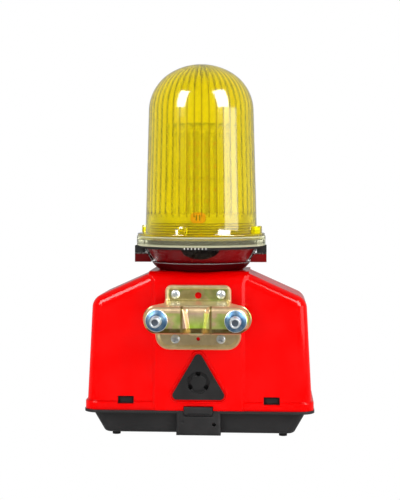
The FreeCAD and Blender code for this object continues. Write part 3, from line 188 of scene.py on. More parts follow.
def strap_film_and_painted_light(made, across, wide, rise):
    """Soft patches of tint on the clamp strap's flats and saddle, with painted reflection tints on the saddle's walls,
    painted highlights on the upper bend and the cut edge, and painted shade in the lower bend and the creases beside
    the saddle.
    """
    flats = made.ramp(made.cloud(13, 1), (0.38, (0.48, 0.64, 0.12)), (0.50, (0.66, 0.70, 0.20)),
                      (0.58, (0.88, 0.60, 0.36)))
    saddle = made.ramp(made.math("ADD", made.math("DIVIDE", rise, 22.0), 0.5), (0.25, (0.60, 0.90, 0.08)),
                       (0.55, (0.78, 0.82, 0.28)), (0.8, (0.90, 0.62, 0.46)))
    tint = made.blend(made.within(across, -6.0, 6.0, 1.2), flats, saddle)
    bands = (
        (across, -12.0, -7.2, 1.0, (0.92, 0.58, 0.40)),   # left wall of the saddle: a painted pink reflection tint
        (across, 7.2, 11.0, 1.0, (0.86, 0.94, 0.22)),     # right wall of the saddle: a painted green reflection tint
        (rise, 7.6, 14.0, 1.6, (0.95, 0.68, 0.40)),       # upper bend: painted highlight
        (rise, -11.2, -7.6, 1.2, (0.12, 0.075, 0.008)),   # lower bend: painted shade
        (rise, -14.0, -11.9, 0.5, (0.95, 0.78, 0.44)),    # cut edge: painted highlight
        (wide, 12.4, 13.6, 0.9, (0.30, 0.21, 0.05)),      # crease on each side of the saddle: painted shade
    )
    # Lays the painted reflections, highlights and shade over the tint
    for source, low, high, soft, colour in bands:
        tint = made.blend(made.within(source, low, high, soft), tint, colour)
    gold = made.math("MULTIPLY", made.within(rise, -10.0, -9.0, 3.0), made.within(wide, 7.0, 9.5, 3.0))
    return made.blend(gold, tint, (0.85, 0.50, 0.10))


def plate_film_and_painted_light(made, film, wide, level):
    """The mounting plate's film, warmer on the lower pan, with a near-black band of painted shade behind the strap's
    top, a painted highlight on the upper bend and painted highlights on both pans' raised rims.
    """
    plate = made.blend(made.within(level, 60.0, 98.5, 1.5), film, (0.84, 0.68, 0.38))
    # painted shade: a near-black band on the plate behind the top of the strap
    plate = made.blend(made.within(level, 117.4, 120.4, 0.7), plate, (0.12, 0.085, 0.02))
    # painted highlight: a pale band on the plate's upper bend
    plate = made.blend(made.within(level, 122.4, 126.0, 1.0), plate, (0.78, 0.68, 0.42))
    # painted highlights: cream along both pans' raised rims
    top_rim_highlight = made.math("MAXIMUM", made.math("SUBTRACT", wide, 27.6), made.math("SUBTRACT", level, 138.2))
    low_rim_highlight = made.math("MAXIMUM", made.math("SUBTRACT", wide, 36.4), made.math("SUBTRACT", 84.4, level))
    top_rim_highlight = made.math("MULTIPLY", made.within(top_rim_highlight, 0.0, 9.0, 0.8), made.within(level, 122.0, 150.0, 1.5))
    low_rim_highlight = made.math("MULTIPLY", made.within(low_rim_highlight, 0.0, 9.0, 0.8), made.within(level, 60.0, 99.0, 1.0))
    return made.blend(made.math("MAXIMUM", top_rim_highlight, low_rim_highlight), plate, (0.86, 0.72, 0.40))


def yellow_zinc():
    """Chromated zinc: olive with drifting green, rose and straw, on the plate and on the strap before it."""
    made = Finish("yellow_chromate_zinc", (0.5, 0.45, 0.2), 0.3, 0.75)
    drift = made.cloud(19, 1, (1.0, 1.0, 1.3), (0.2, 0.5, 0.3))
    film = made.ramp(drift, (0.30, (0.46, 0.38, 0.14)), (0.42, (0.52, 0.44, 0.18)), (0.50, (0.34, 0.40, 0.10)),
                     (0.58, (0.42, 0.44, 0.14)), (0.68, (0.60, 0.40, 0.22)))
    across, level = made.along("X"), made.along("Z")
    wide, rise = made.math("ABSOLUTE", across), made.math("SUBTRACT", level, BOLT_Z)
    strap_or_plate = made.math("LESS_THAN", made.along("Y"), STRAP_PLATE_GAP)
    both = made.blend(strap_or_plate, plate_film_and_painted_light(made, film, wide, level), strap_film_and_painted_light(made, across, wide, rise))
    stain = made.ramp(made.cloud(4.5, 4), (0.38, (0.30, 0.24, 0.08)), (0.62, (0.74, 0.66, 0.38)))
    made.colour(made.blend(0.16, both, stain))
    made.gloss(made.cloud(8, 3), 0.3, 0.42)
    return made.relief(made.cloud(2.2, 2), 0.012)


def blue_zinc():
    """Blue passivated zinc: deep blue on the domed heads, and bright on the screws and the bosses' tips, with a
    painted white highlight round each dome's rim and painted shade in each tip's recess.
    """
    made = Finish("blue_passivated_zinc", (0.6, 0.68, 0.74), 0.18, 0.72)
    bright = made.ramp(made.cloud(5, 3), (0.3, (0.60, 0.66, 0.70)), (0.7, (0.86, 0.88, 0.88)))
    domes = made.ramp(made.cloud(5, 3, (1, 1, 0.6)), (0.32, (0.05, 0.13, 0.25)), (0.52, (0.11, 0.22, 0.36)),
                      (0.68, (0.22, 0.34, 0.46)))
    forward = made.along("Y")
    heads = made.blend(made.within(forward, -82.0, -70.0, 0.5), bright, domes)
    # painted shade on the floor of the recess in each boss's tip
    heads = made.blend(made.within(forward, -93.6, -92.4, 0.3), heads, (0.20, 0.23, 0.28))
    sideways = made.math("SUBTRACT", made.math("ABSOLUTE", made.along("X")), BOLT_X)
    upwards = made.math("SUBTRACT", made.along("Z"), BOLT_Z)
    away = made.math("SQRT", made.math("ADD", made.math("POWER", sideways, 2.0), made.math("POWER", upwards, 2.0)))
    # painted highlight: a white ring round each dome's rim
    rim = made.math("MULTIPLY", made.within(away, 9.75, 11.0, 0.2), made.within(forward, -82.0, -77.0, 0.5))
    made.colour(made.blend(rim, heads, (0.95, 0.97, 0.97)))
    made.gloss(made.cloud(3, 4), 0.32, 0.46)
    return made.relief(made.cloud(0.9, 3), 0.01)


def steel(name, tone, low, high):
    made = Finish(name, tone, low, 1.0)
    dark = tuple(c * 0.8 for c in tone)
    made.colour(made.ramp(made.cloud(4, 4), (0.35, dark), (0.65, tone)))
    made.gloss(made.cloud(2, 4), low, high)
    return made.relief(made.cloud(0.7, 2), 0.006, 0.2)


def yellow_lens():
    """Clear yellow moulding with painted shade along the cusps between its flutes, and denser in the foot."""
    made = Finish("yellow_lens_plastic", (0.95, 0.8, 0.01), 0.12, IOR=1.46, Transmission_Weight=0.93,
                  Specular_IOR_Level=0.3, Coat_Weight=1.0, Coat_Roughness=0.03)
    body = made.ramp(made.cloud(26, 3, (1, 1, 0.5)), (0.3, (0.945, 0.82, 0.003)), (0.7, (0.97, 0.87, 0.005)))
    turn = made.math("ARCTAN2", made.along("Y"), made.along("X"))
    count = made.math("MULTIPLY", turn, FLUTES / math.tau)
    cusp = made.math("PINGPONG", made.math("ADD", count, float(FLUTES)), 0.5)
    height = made.along("Z")
    fluted = made.within(height, FLUTE_FOOT - 0.4, 344.0, 3.0)
    # painted shade: darker olive lines along the cusps between the flutes
    lines = made.math("MULTIPLY", made.within(cusp, -0.1, 0.05, 0.06), fluted)
    cusp_shaded = made.blend(made.math("MULTIPLY", lines, 0.8), body, (0.52, 0.38, 0.002))
    foot = made.within(height, 180.0, 188.4, 1.0)
    made.colour(made.blend(foot, cusp_shaded, (1.0, 0.82, 0.004)))
    made.gloss(made.cloud(6, 4), 0.1, 0.16)
    return made.relief(made.cloud(9, 1, (1, 1, 0.4)), 0.003)


def collar_yellow():
    """Frosted yellow collar with painted highlights along its ribs and painted olive shade between them."""
    made = Finish("ribbed_collar_yellow", (0.7, 0.62, 0.02), 0.45, Specular_IOR_Level=0.15)
    climb = made.math("SUBTRACT", made.along("Z"), RIB_START)
    # painted highlights along the ribs and painted olive shade between them
    rib_light_and_shade = made.math("PINGPONG", made.math("DIVIDE", climb, RIB_PITCH), 0.5)
    uneven = made.math("ADD", rib_light_and_shade, made.math("MULTIPLY", made.cloud(24, 3, (1, 1, 6)), 0.25))
    made.colour(made.ramp(uneven, (0.14, (0.92, 0.84, 0.03)), (0.36, (0.50, 0.44, 0.012)),
                          (0.55, (0.30, 0.26, 0.006))))
    made.gloss(made.cloud(6, 3), 0.4, 0.55)
    return made.relief(made.cloud(3, 2), 0.01)


def sensor_orange():
    """Orange sensor cover with two dark slots."""
    made = Finish("sensor_orange", (0.98, 0.30, 0.01), 0.3)
    tone = made.ramp(made.cloud(5, 3), (0.32, (0.90, 0.30, 0.01)), (0.66, (1.0, 0.40, 0.02)))
    slots = made.math("MULTIPLY", made.within(made.math("ABSOLUTE", made.along("X")), 1.0, 2.0, 0.15),
                      made.within(made.along("Z"), 200.8, 205.4, 0.3))
    made.colour(made.blend(slots, tone, (0.03, 0.015, 0.004)))
    made.gloss(made.cloud(3, 3), 0.3, 0.42)
    return made.relief(made.cloud(1, 2), 0.01, 0.3)


def clear_plastic(name, tone, low, high, clear=0.95, index=1.49, ring=None):
    """Clear moulding. ring is the tint of its thick rim, above the bowl."""
    made = Finish(name, tone, low, IOR=index, Transmission_Weight=clear)
    pale = tuple(min(1.0, c * 1.03) for c in tone)
    body = made.ramp(made.cloud(20, 2), (0.3, tone), (0.7, pale))
    if ring:
        height = made.along("Z")
        rim = made.within(height, RING_BOTTOM + 0.3, 200.0, 0.6)
        foot = made.within(height, 150.0, 160.0, 0.8)
        body = made.blend(foot, made.blend(rim, body, ring), (0.05, 0.001, 0.002))
        edges = made.math("ADD", made.within(height, RING_BOTTOM + 0.4, RING_BOTTOM + 1.6, 0.4),
                          made.within(height, RING_TOP - 1.0, 190.0, 0.4))
        solid = made.math("ADD", made.math("MULTIPLY", rim, 0.1), made.math("MULTIPLY", edges, 0.4))
        solid = made.math("MAXIMUM", solid, made.math("MULTIPLY", foot, 0.9))
        seen_through = made.node("ShaderNodeMapRange", [("Value", solid), ("To Min", clear), ("To Max", 0.0)])
        made.links.new(seen_through.outputs["Result"], made.shader.inputs["Transmission Weight"])
    made.colour(body)
    made.gloss(made.cloud(5, 4), low, high)
    return made.relief(made.cloud(6, 2), 0.006)


def liner_red():
    """Deep red liner, darker on its left side by painted shade, with a black half-oval of painted shade on its front,
    under the ring.
    """
    made = Finish("deep_red_liner", (0.2, 0.0, 0.003), 0.3, Specular_IOR_Level=0.1)
    # painted shade: darker towards the left side
    red = made.ramp(made.math("DIVIDE", made.along("X"), 60.0), (0.0, (0.11, 0.0, 0.001)),
                    (0.6, (0.19, 0.001, 0.002)))
    # painted shade: a black half-oval on the front, under the ring
    wide = made.math("POWER", made.math("DIVIDE", made.math("SUBTRACT", made.along("X"), 2.0), 19.0), 2.0)
    tall = made.math("POWER", made.math("DIVIDE", made.math("SUBTRACT", made.along("Z"), 176.0), 11.5), 2.0)
    ragged = made.math("MULTIPLY", made.cloud(5, 2), 0.3)
    oval = made.within(made.math("ADD", made.math("ADD", wide, tall), ragged), -1.0, 1.05, 0.12)
    front = made.math("LESS_THAN", made.along("Y"), 0.0)
    made.colour(made.blend(made.math("MULTIPLY", oval, front), red, (0.002, 0.001, 0.001)))
    made.gloss(made.cloud(8, 3), 0.24, 0.4)
    return made.relief(made.cloud(2, 2), 0.01, 0.4)


def painted(name, tone, low, high):
    """An even coloured plastic or lacquer with slight cloudiness and grain."""
    made = Finish(name, tone, low)
    dark = tuple(c * 0.86 for c in tone)
    made.colour(made.ramp(made.cloud(14, 4), (0.32, dark), (0.66, tone)))
    made.gloss(made.cloud(5.6, 4), low, high)
    return made.relief(made.cloud(1, 3), 0.01, 0.3)


def battery_wrap():
    """Printed wrap in graphite with a straw band round its upper part."""
    made = Finish("battery_wrap", (0.1, 0.1, 0.1), 0.35)
    height = made.math("DIVIDE", made.along("Z"), 110.0)
    bands = made.ramp(height, (0.0, (0.03, 0.034, 0.04)), (0.62, (0.03, 0.034, 0.04)),
                      (0.625, (0.72, 0.50, 0.08)), (0.78, (0.72, 0.50, 0.08)), (0.785, (0.10, 0.11, 0.12)))
    made.colour(made.blend(made.math("MULTIPLY", made.cloud(9, 5), 0.25), bands, (0.02, 0.02, 0.02)))
    made.gloss(made.cloud(7, 4), 0.26, 0.42)
    return made.relief(made.cloud(3, 2), 0.02)


def circuit_board(name, tone):
    made = Finish(name, tone, 0.4)
    lines = made.node("ShaderNodeTexBrick", [("Vector", made.place()), ("Scale", 0.16), ("Mortar Size", 0.03),
                                             ("Color1", (*tone, 1)), ("Color2", (*tone, 1)),
                                             ("Mortar", (*(min(1, c * 1.7) for c in tone), 1))])
    made.colour(lines.outputs["Color"])
    made.gloss(made.cloud(5, 3), 0.3, 0.5)
    return made.relief(made.cloud(1, 2), 0.01, 0.2)


def lead_insulation():
    """One lead is red and the other black, each side of the middle."""
    made = Finish("lead_insulation", (0.02, 0.02, 0.02), 0.45)
    made.colour(made.blend(made.math("GREATER_THAN", made.along("X"), 0.0), (0.55, 0.02, 0.02), (0.015, 0.015, 0.016)))
    made.gloss(made.cloud(3, 3), 0.38, 0.52)
    return made.relief(made.cloud(1.5, 2), 0.02)


FINISHES = {
    "hood_red": red_moulding(),
    "tray_black": charcoal_moulding("tray_charcoal", 0.019, 0.9, 0.7),
    "lock_black": charcoal_moulding("lock_charcoal", 0.014, 0.7, 0.4),
    "seal_rubber": rubber(),
    "yellow_zinc": yellow_zinc(),
    "blue_zinc": blue_zinc(),
    "battery_case": battery_wrap(),
    "spring_steel": steel("spring_steel", (0.62, 0.60, 0.57), 0.2, 0.34),
    "contact_brass": steel("contact_brass", (0.80, 0.62, 0.28), 0.22, 0.36),
    "post_aluminium": steel("post_aluminium", (0.80, 0.72, 0.52), 0.3, 0.45),
    "board_green": circuit_board("board_green", (0.02, 0.16, 0.06)),
    "board_grey": circuit_board("board_grey", (0.20, 0.18, 0.13)),
    "lead_insulation": lead_insulation(),
    "head_clear": clear_plastic("clear_bowl_plastic", (0.97, 0.95, 0.94), 0.03, 0.07, 1.0, 1.08,
                                (0.66, 0.66, 0.46)),
    "optic_clear": clear_plastic("clear_optic_plastic", (0.97, 0.97, 0.94), 0.04, 0.1),
    "liner_red": liner_red(),
    "lens_yellow": yellow_lens(),
    "drum_white": painted("drum_white", (0.82, 0.82, 0.78), 0.4, 0.55),
    "led_amber": painted("led_amber", (0.95, 0.45, 0.03), 0.2, 0.3),
    "sensor_orange": sensor_orange(),
}
SLOT_OF = {name: NODES[name].data.materials[0].name.split(".")[0] for name in NODES}
for name, cad in NODES.items():
    cad.data.materials[0] = FINISHES[SLOT_OF[name]].material
NODES["ribbed_collar"].data.materials[0] = collar_yellow().material


# ---------------------------------------------------------------- shaping tools
class Outline:
    """A turner's outline of straight runs and arcs, from its first point on, in millimetres of radius and height."""

    def __init__(self, radius, height):
        self.bm = bmesh.new()
        self.first = self.tip = self.bm.verts.new((radius * MM, 0, height * MM))

    def line(self, radius, height, parts=1):
        start, end = self.tip.co.copy(), Vector((radius, 0, height)) * MM
        for part in range(1, parts + 1):
            grown = bmesh.ops.extrude_vert_indiv(self.bm, verts=[self.tip])
            self.tip = grown["verts"][0]
            self.tip.co = start.lerp(end, part / parts)
        return self

    def arc(self, centre_radius, centre_height, turn, steps):
        """turn is in degrees, from the height axis towards the radius axis."""
        swept = bmesh.ops.spin(self.bm, geom=[self.tip], cent=(centre_radius * MM, 0, centre_height * MM),
                               axis=(0, 1, 0), angle=math.radians(turn), steps=steps)
        self.tip = next(item for item in swept["geom_last"] if isinstance(item, bmesh.types.BMVert))
        return self

    def turned(self, sides, closed=True):
        """The outline carried all the way round the upright axis."""
        if closed:
            self.bm.edges.new((self.tip, self.first))
        bmesh.ops.spin(self.bm, geom=self.bm.verts[:] + self.bm.edges[:], cent=(0, 0, 0), axis=(0, 0, 1),
                       angle=math.tau, steps=sides, use_merge=True)
        bmesh.ops.remove_doubles(self.bm, verts=self.bm.verts, dist=1e-6)
        bmesh.ops.recalc_face_normals(self.bm, faces=self.bm.faces)
        return self.bm


def ease(bm, width, segments, sharper=30, pick=None):
    """Rounds the edges that turn by more than sharper degrees and that pick accepts."""
    edges = [edge for edge in bm.edges if len(edge.link_faces) == 2
             and edge.calc_face_angle(0) > math.radians(sharper) and (pick is None or pick(edge))]
    bmesh.ops.bevel(bm, geom=edges, offset=width * MM, affect="EDGES", segments=segments, profile=0.5, material=-1)
    return bm


def block(bm, low, high, width=0.0, segments=2):
    """A block between two corners in millimetres, with its edges rounded, added to bm."""
    size, middle = [b - a for a, b in zip(low, high)], [(a + b) / 2 for a, b in zip(low, high)]
    made = bmesh.ops.create_cube(bm, size=1.0)["verts"]
    bmesh.ops.scale(bm, verts=made, vec=Vector(size) * MM)
    bmesh.ops.translate(bm, verts=made, vec=Vector(middle) * MM)
    if width:
        edges = list({edge for vert in made for edge in vert.link_edges})
        eased = bmesh.ops.bevel(bm, geom=edges, offset=width * MM, affect="EDGES", segments=segments, profile=0.5,
                                material=-1)
        made = list({vert for face in eased["faces"] for vert in face.verts})
    return made


def joined(*parts):
    """Several bmeshes as one."""
    whole = bmesh.new()
    for part in parts:
        copy = bpy.data.meshes.new("joined")
        part.to_mesh(copy)
        part.free()
        whole.from_mesh(copy)
        bpy.data.meshes.remove(copy)
    return whole


def face_front(bm, place):
    """Turns a shape's upright axis towards the front and moves it to a place in millimetres."""
    bmesh.ops.rotate(bm, verts=bm.verts, cent=(0, 0, 0), matrix=Matrix.Rotation(math.radians(90), 3, "X"))
    bmesh.ops.translate(bm, verts=bm.verts, vec=Vector(place) * MM)


def piece(name, bm, slot, body, *nodes, crease=32):
    """A finished piece with its slot's finish, on its body, in place of the CAD nodes named."""
    mesh = bpy.data.meshes.new(name)
    bm.to_mesh(mesh)
    bm.free()
    mesh.shade_smooth()
    mesh.set_sharp_from_angle(angle=math.radians(crease))
    mesh.materials.append(FINISHES[slot].material)
    made = bpy.data.objects.new(name, mesh)
    bpy.context.scene.collection.objects.link(made)
    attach(made, body)
    if nodes:
        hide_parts(*nodes)
    return made


def smooth_step(low, high, value):
    """0 below low, 1 above high, and an even S between them."""
    share = min(1.0, max(0.0, (value - low) / (high - low)))
    return share * share * (3 - 2 * share)


# ---------------------------------------------------------------- lens
LENS_FOOT, LENS_RIM_LOW, LENS_LEAN_FROM, LENS_SHOULDER, LENS_TOP_RADIUS = 53.3, 185.6, 187.6, 304.0, 50.2
LENS_WALL, SIDE_CENTRE, SIDE_ARC, SIDE_TURN = 2.6, 7.0, 43.2, 58.1
CROWN_CENTRE = LENS_SHOULDER - SIDE_CENTRE * math.tan(math.radians(SIDE_TURN))
CROWN_ARC = SIDE_ARC + SIDE_CENTRE / math.cos(math.radians(SIDE_TURN))
CROWN_TURN = 90 - SIDE_TURN
LENS_BOTTOM, LENS_SPIGOT, LENS_FLANGE = 182.0, 58.6, 60.9
FLUTE_SIDES, FLUTE_HEIGHT, NUB_HEIGHT, SHAPED_FROM = 10, 0.6, 0.8, 203
TABS, TAB_TURN, TAB_HALF_WIDTH, TAB_RADIUS, TAB_TOP = 4, -14, 4.0, 59.3, 194.8


def lens_radius(height):
    """The lens's outside radius at a height on its leaning side."""
    return LENS_FOOT - (height - LENS_LEAN_FROM) * (LENS_FOOT - LENS_TOP_RADIUS) / (LENS_SHOULDER - LENS_LEAN_FROM)


def flute_lens(bm):
    """Presses the flutes and the row of nubs into the inner face."""
    for vert in bm.verts:
        x, y, z = vert.co / MM
        radius = math.hypot(x, y)
        angle = math.atan2(y, x)
        wave = abs(math.sin(angle * FLUTES / 2))
        if z < LENS_SHOULDER:
            outer, way = lens_radius(z), Vector((x, y, 0))
            gap = outer - radius
        elif math.atan2(z - LENS_SHOULDER, max(radius - SIDE_CENTRE, 1e-6)) < math.radians(SIDE_TURN):
            gap = SIDE_ARC - math.hypot(radius - SIDE_CENTRE, z - LENS_SHOULDER)
            spoke = (radius - SIDE_CENTRE) / max(radius, 1e-6)
            way = Vector((x * spoke, y * spoke, z - LENS_SHOULDER))
        else:
            gap = CROWN_ARC - math.hypot(radius, z - CROWN_CENTRE)
            way = Vector((x, y, z - CROWN_CENTRE))
        if gap < LENS_WALL / 2 or z < SHAPED_FROM or way.length == 0:
            continue
        way.normalize()
        if z > FLUTE_FOOT - 0.1:
            depth = FLUTE_HEIGHT * (1 - 2 * wave) * min(1.0, radius / 40)
            vert.co += way * depth * smooth_step(FLUTE_FOOT - 0.2, FLUTE_FOOT + 1.2, z) * MM
        elif 204 < z < 205 and wave < 0.27:
            vert.co -= way * NUB_HEIGHT * MM


def lens_cover():
    """The domed lens with its flange and four grip tabs."""
    outline = Outline(LENS_FOOT - LENS_WALL, LENS_BOTTOM).line(LENS_SPIGOT, LENS_BOTTOM)
    outline.line(LENS_SPIGOT, LENS_RIM_LOW).line(LENS_FLANGE, LENS_RIM_LOW).line(LENS_FLANGE, LENS_LEAN_FROM)
    outline.line(LENS_FOOT, LENS_LEAN_FROM).line(LENS_TOP_RADIUS, LENS_SHOULDER, 10)
    outline.arc(SIDE_CENTRE, LENS_SHOULDER, -SIDE_TURN, 14).arc(0, CROWN_CENTRE, -CROWN_TURN, 10)
    outline.line(0, CROWN_CENTRE + CROWN_ARC - LENS_WALL)
    outline.arc(0, CROWN_CENTRE, CROWN_TURN, 10).arc(SIDE_CENTRE, LENS_SHOULDER, SIDE_TURN, 14)
    for height, parts in ((FLUTE_FOOT + 2, 10), (FLUTE_FOOT, 4), (205.5, 1), (204.8, 1), (204.2, 1), (203.5, 1)):
        outline.line(lens_radius(height) - LENS_WALL, height, parts)
    bm = outline.turned(FLUTES * FLUTE_SIDES)
    flute_lens(bm)
    bm = ease(bm, 0.5, 2, 60, lambda edge: max(v.co.z for v in edge.verts) < 190 * MM)
    for tab in range(TABS):
        made = block(bm, (LENS_FOOT + 0.06, -TAB_HALF_WIDTH, LENS_LEAN_FROM + 0.05),
                     (TAB_RADIUS, TAB_HALF_WIDTH, TAB_TOP), 0.9)
        turn = Matrix.Rotation(math.radians(360 / TABS * tab + TAB_TURN), 3, "Z")
        bmesh.ops.rotate(bm, verts=made, cent=(0, 0, 0), matrix=turn)
    piece("lens_fluted", bm, "lens_yellow", "lens_cover", "lens", crease=24)


# ---------------------------------------------------------------- head
NECK_RADIUS, BOWL_BOTTOM, BOWL_FLOOR = 16, 153.2, 155.2
BOWL_ARC_RADIUS, BOWL_ARC_HEIGHT, BOWL_ARC_TURN = 28.43, 171.91, 27.3
RIM_OUTSIDE, RIM_INSIDE, RIM_LOW = 54, 52, 172.6
RING_RADIUS, RING_LEDGE_RADIUS, RING_LEDGE = 61.6, 59.6, 181.6


def head_pieces():
    """The clear bowl and the thick ring that carries the lens."""
    bowl = Outline(NECK_RADIUS, BOWL_BOTTOM).line(40, BOWL_BOTTOM)
    bowl.arc(BOWL_ARC_RADIUS, BOWL_ARC_HEIGHT, -BOWL_ARC_TURN, 10).line(RIM_OUTSIDE, RIM_LOW)
    bowl.line(RIM_OUTSIDE, RING_BOTTOM).line(RING_RADIUS, RING_BOTTOM).line(RING_RADIUS, RING_TOP)
    bowl.line(RING_LEDGE_RADIUS, RING_TOP).line(RING_LEDGE_RADIUS, RING_LEDGE)
    bowl.line(RIM_INSIDE, RING_LEDGE).line(RIM_INSIDE, RIM_LOW).line(45.6, 161.7)
    bowl.arc(BOWL_ARC_RADIUS, BOWL_ARC_HEIGHT, BOWL_ARC_TURN, 10).line(NECK_RADIUS, BOWL_FLOOR)
    bm = ease(bowl.turned(128), 0.7, 3, 50)
    piece("head_bowl_clear", bm, "head_clear", "housing", "head_bowl")


TICKS, TICK_MIDDLE, TICK_STEP, TICK_HALF_WIDTH = 7, 3.6, 0.055, 0.45


def ring_ticks():
    """Seven pale index ticks on the front of the ring's gasket, each a turn of TICK_STEP from the last."""
    bm = bmesh.new()
    for tick in range(TICKS):
        made = block(bm, (-TICK_HALF_WIDTH, -60.3, 174.3), (TICK_HALF_WIDTH, -59.2, 175.8), 0.2)
        turn = Matrix.Rotation((tick - TICK_MIDDLE) * TICK_STEP, 3, "Z")
        bmesh.ops.rotate(bm, verts=made, cent=(0, 0, 0), matrix=turn)
    piece("ring_ticks", bm, "drum_white", "housing")


# ---------------------------------------------------------------- bracket
EAR_X, EAR = 36.8, 12.6
PAN_FACE, PAN_RIM, PAN_EDGE, BRIDGE_FACE = 46.6, 48.95, 46.7, 62.0
TOP_PAN_HALF, TOP_PAN_ROUND, LOW_PAN_HALF, LOW_PAN_ROUND = 30.5, 6, 39.5, 13
UPPER_BEND, LOWER_BEND = (11.2, 16.4), (12.2, 15.8)
PLATE_SHEET, STRAP_SHEET = 2.0, 2.2
STRAP_EDGE, STRAP_SWELL, STRAP_ROUND, SADDLE_DEPTH = 70.4, 7.6, 4.6, 4.2
HEAD_FACE, NECK_HALF_WIDTH, SCREW_FACE = -78, 4, -46.62
SCREWS = ((-21, 91.6, 20), (21, 91.6, 65), (-21, 132.6, 40), (21, 132.6, 10))
SLOT_HALF_WIDTH, SLOT_REACH, SLOT_DEPTH = 0.55, 2.4, 1.3


def inside_round(x, z, half, low, high, corner):
    """How far (x, z) lies inside a rounded rectangle, in millimetres."""
    dx = abs(x) - (half - corner)
    dz = abs(z - (low + high) / 2) - ((high - low) / 2 - corner)
    return corner - math.hypot(max(dx, 0), max(dz, 0)) - min(max(dx, dz), 0)


def corner_run(radius, past):
    """How far a rounded corner reaches sideways at a distance past its start."""
    return math.sqrt(max(0, radius ** 2 - max(0, past) ** 2))


def plate_half(z):
    """Half the plate's width at a height: the upper pan, the round ears beside the bolts, or the lower pan."""
    drop = z - BOLT_Z
    high = TOP_PAN_HALF - TOP_PAN_ROUND + corner_run(TOP_PAN_ROUND, z - (PLATE_TOP - TOP_PAN_ROUND))
    low = LOW_PAN_HALF - LOW_PAN_ROUND + corner_run(LOW_PAN_ROUND, PLATE_LOW + LOW_PAN_ROUND - z)
    ear = EAR_X + math.sqrt(EAR ** 2 - drop ** 2) if abs(drop) < EAR else 0
    if drop > EAR:
        return high + (EAR_X - high) * (1 - smooth_step(EAR, EAR + 1.2, drop))
    return max(ear, low) if drop < -6 else ear


def plate_depth(x, z):
    """How far forward the plate stands at a point: two pans with raised rims, and the bridge between them."""
    drop = z - BOLT_Z
    if z > BOLT_Z:
        edge = inside_round(x, z, TOP_PAN_HALF, 60, PLATE_TOP, TOP_PAN_ROUND)
    else:
        edge = inside_round(x, z, LOW_PAN_HALF, PLATE_LOW, 160, LOW_PAN_ROUND)
    rim = PAN_EDGE + (PAN_RIM - PAN_EDGE) * smooth_step(0, 1.1, edge)
    pan = rim + (PAN_FACE - rim) * smooth_step(2.2, 4.4, edge)
    bridge = 1 - smooth_step(*(UPPER_BEND if drop > 0 else LOWER_BEND), abs(drop))
    ear = EAR - math.hypot(max(abs(x) - EAR_X, 0), drop)
    face = BRIDGE_FACE - 0.8 * (1 - smooth_step(0, 1.0, ear)) if abs(x) > 31 else BRIDGE_FACE
    return pan + (face - pan) * bridge


def drilled(bm, x, z, radius):
    """A round hole through a pressed sheet, whose edge is drawn onto the circle."""
    lost = [face for face in bm.faces
            if math.hypot(face.calc_center_median().x / MM - x, face.calc_center_median().z / MM - z) < radius]
    bmesh.ops.delete(bm, geom=lost, context="FACES")
    for vert in bm.verts:
        if vert.is_boundary:
            dx, dz = vert.co.x / MM - x, vert.co.z / MM - z
            away = math.hypot(dx, dz)
            if 0 < away < radius + 1.2:
                vert.co.x, vert.co.z = (x + dx * radius / away) * MM, (z + dz * radius / away) * MM


def pressed(columns, rows, half, height, depth):
    """A sheet pressed from a flat blank: rows as wide as half says, pushed forward by depth, in millimetres."""
    bm = bmesh.new()
    bmesh.ops.create_grid(bm, x_segments=columns, y_segments=rows, size=1.0)
    for vert in bm.verts:
        z = height(vert.co.y)
        x = vert.co.x * half(z)
        vert.co = Vector((x, -depth(x, z), z)) * MM
    return bm


def sheet_metal(made, thickness, rounding):
    """Gives a pressed sheet its thickness behind its face, and eases its cut edge."""
    wall = made.modifiers.new("wall", "SOLIDIFY")
    wall.thickness, wall.offset, wall.use_even_offset = thickness * MM, -1, True
    edge = made.modifiers.new("edge", "BEVEL")
    edge.width, edge.segments, edge.limit_method, edge.angle_limit = rounding * MM, 2, "ANGLE", math.radians(60)
    edge.use_clamp_overlap = True


def bracket_plate():
    """The mounting plate with a hole through each pan."""
    bm = pressed(150, 150, plate_half, lambda v: PLATE_LOW + (PLATE_TOP - PLATE_LOW) * (v + 1) / 2, plate_depth)
    drilled(bm, 0, 131.6, 3.1)
    drilled(bm, 0, 91.6, 1.8)
    made = piece("plate_pressed", bm, "yellow_zinc", "housing", "mounting_plate", crease=50)
    sheet_metal(made, PLATE_SHEET, 0.25)


def strap_half(z):
    """Half the strap's width at a height, with a round end about each bolt."""
    return BOLT_X + math.sqrt(max(0, EAR ** 2 - (z - BOLT_Z) ** 2))


def strap_saddle(x, z):
    """Share of the saddle's depth at a point: 1 on its floor, 0 on the flats beside it."""
    rise = (z - BOLT_Z + EAR) / (2 * EAR)
    return 1 - smooth_step(4.6 + 3.4 * rise, 8.2 + 5.0 * rise, abs(x))


def strap_depth(x, z):
    """How far forward the strap stands at a point: rounded along its edges, and sunk in its saddle."""
    edge = EAR - math.hypot(max(abs(x) - BOLT_X, 0), z - BOLT_Z)
    share = min(1.0, max(0.0, edge / STRAP_ROUND))
    rounded = math.sqrt(max(0, 1 - (1 - share) ** 2.6))
    return STRAP_EDGE + (STRAP_SWELL - SADDLE_DEPTH * strap_saddle(x, z)) * rounded


def clamp_strap():
    """The strap across the front, whose saddle is drawn down a little."""
    bm = pressed(220, 72, strap_half, lambda v: BOLT_Z + EAR * math.sin(v * math.pi / 2), strap_depth)
    for vert in bm.verts:
        x, z = vert.co.x / MM, vert.co.z / MM
        vert.co.z -= 1.5 * strap_saddle(x, z) * (1 - abs(z - BOLT_Z) / EAR * 0.2) * MM
    made = piece("strap_pressed", bm, "yellow_zinc", "clamp_jaw", "clamp_strap", crease=50)
    sheet_metal(made, STRAP_SHEET, 0.3)


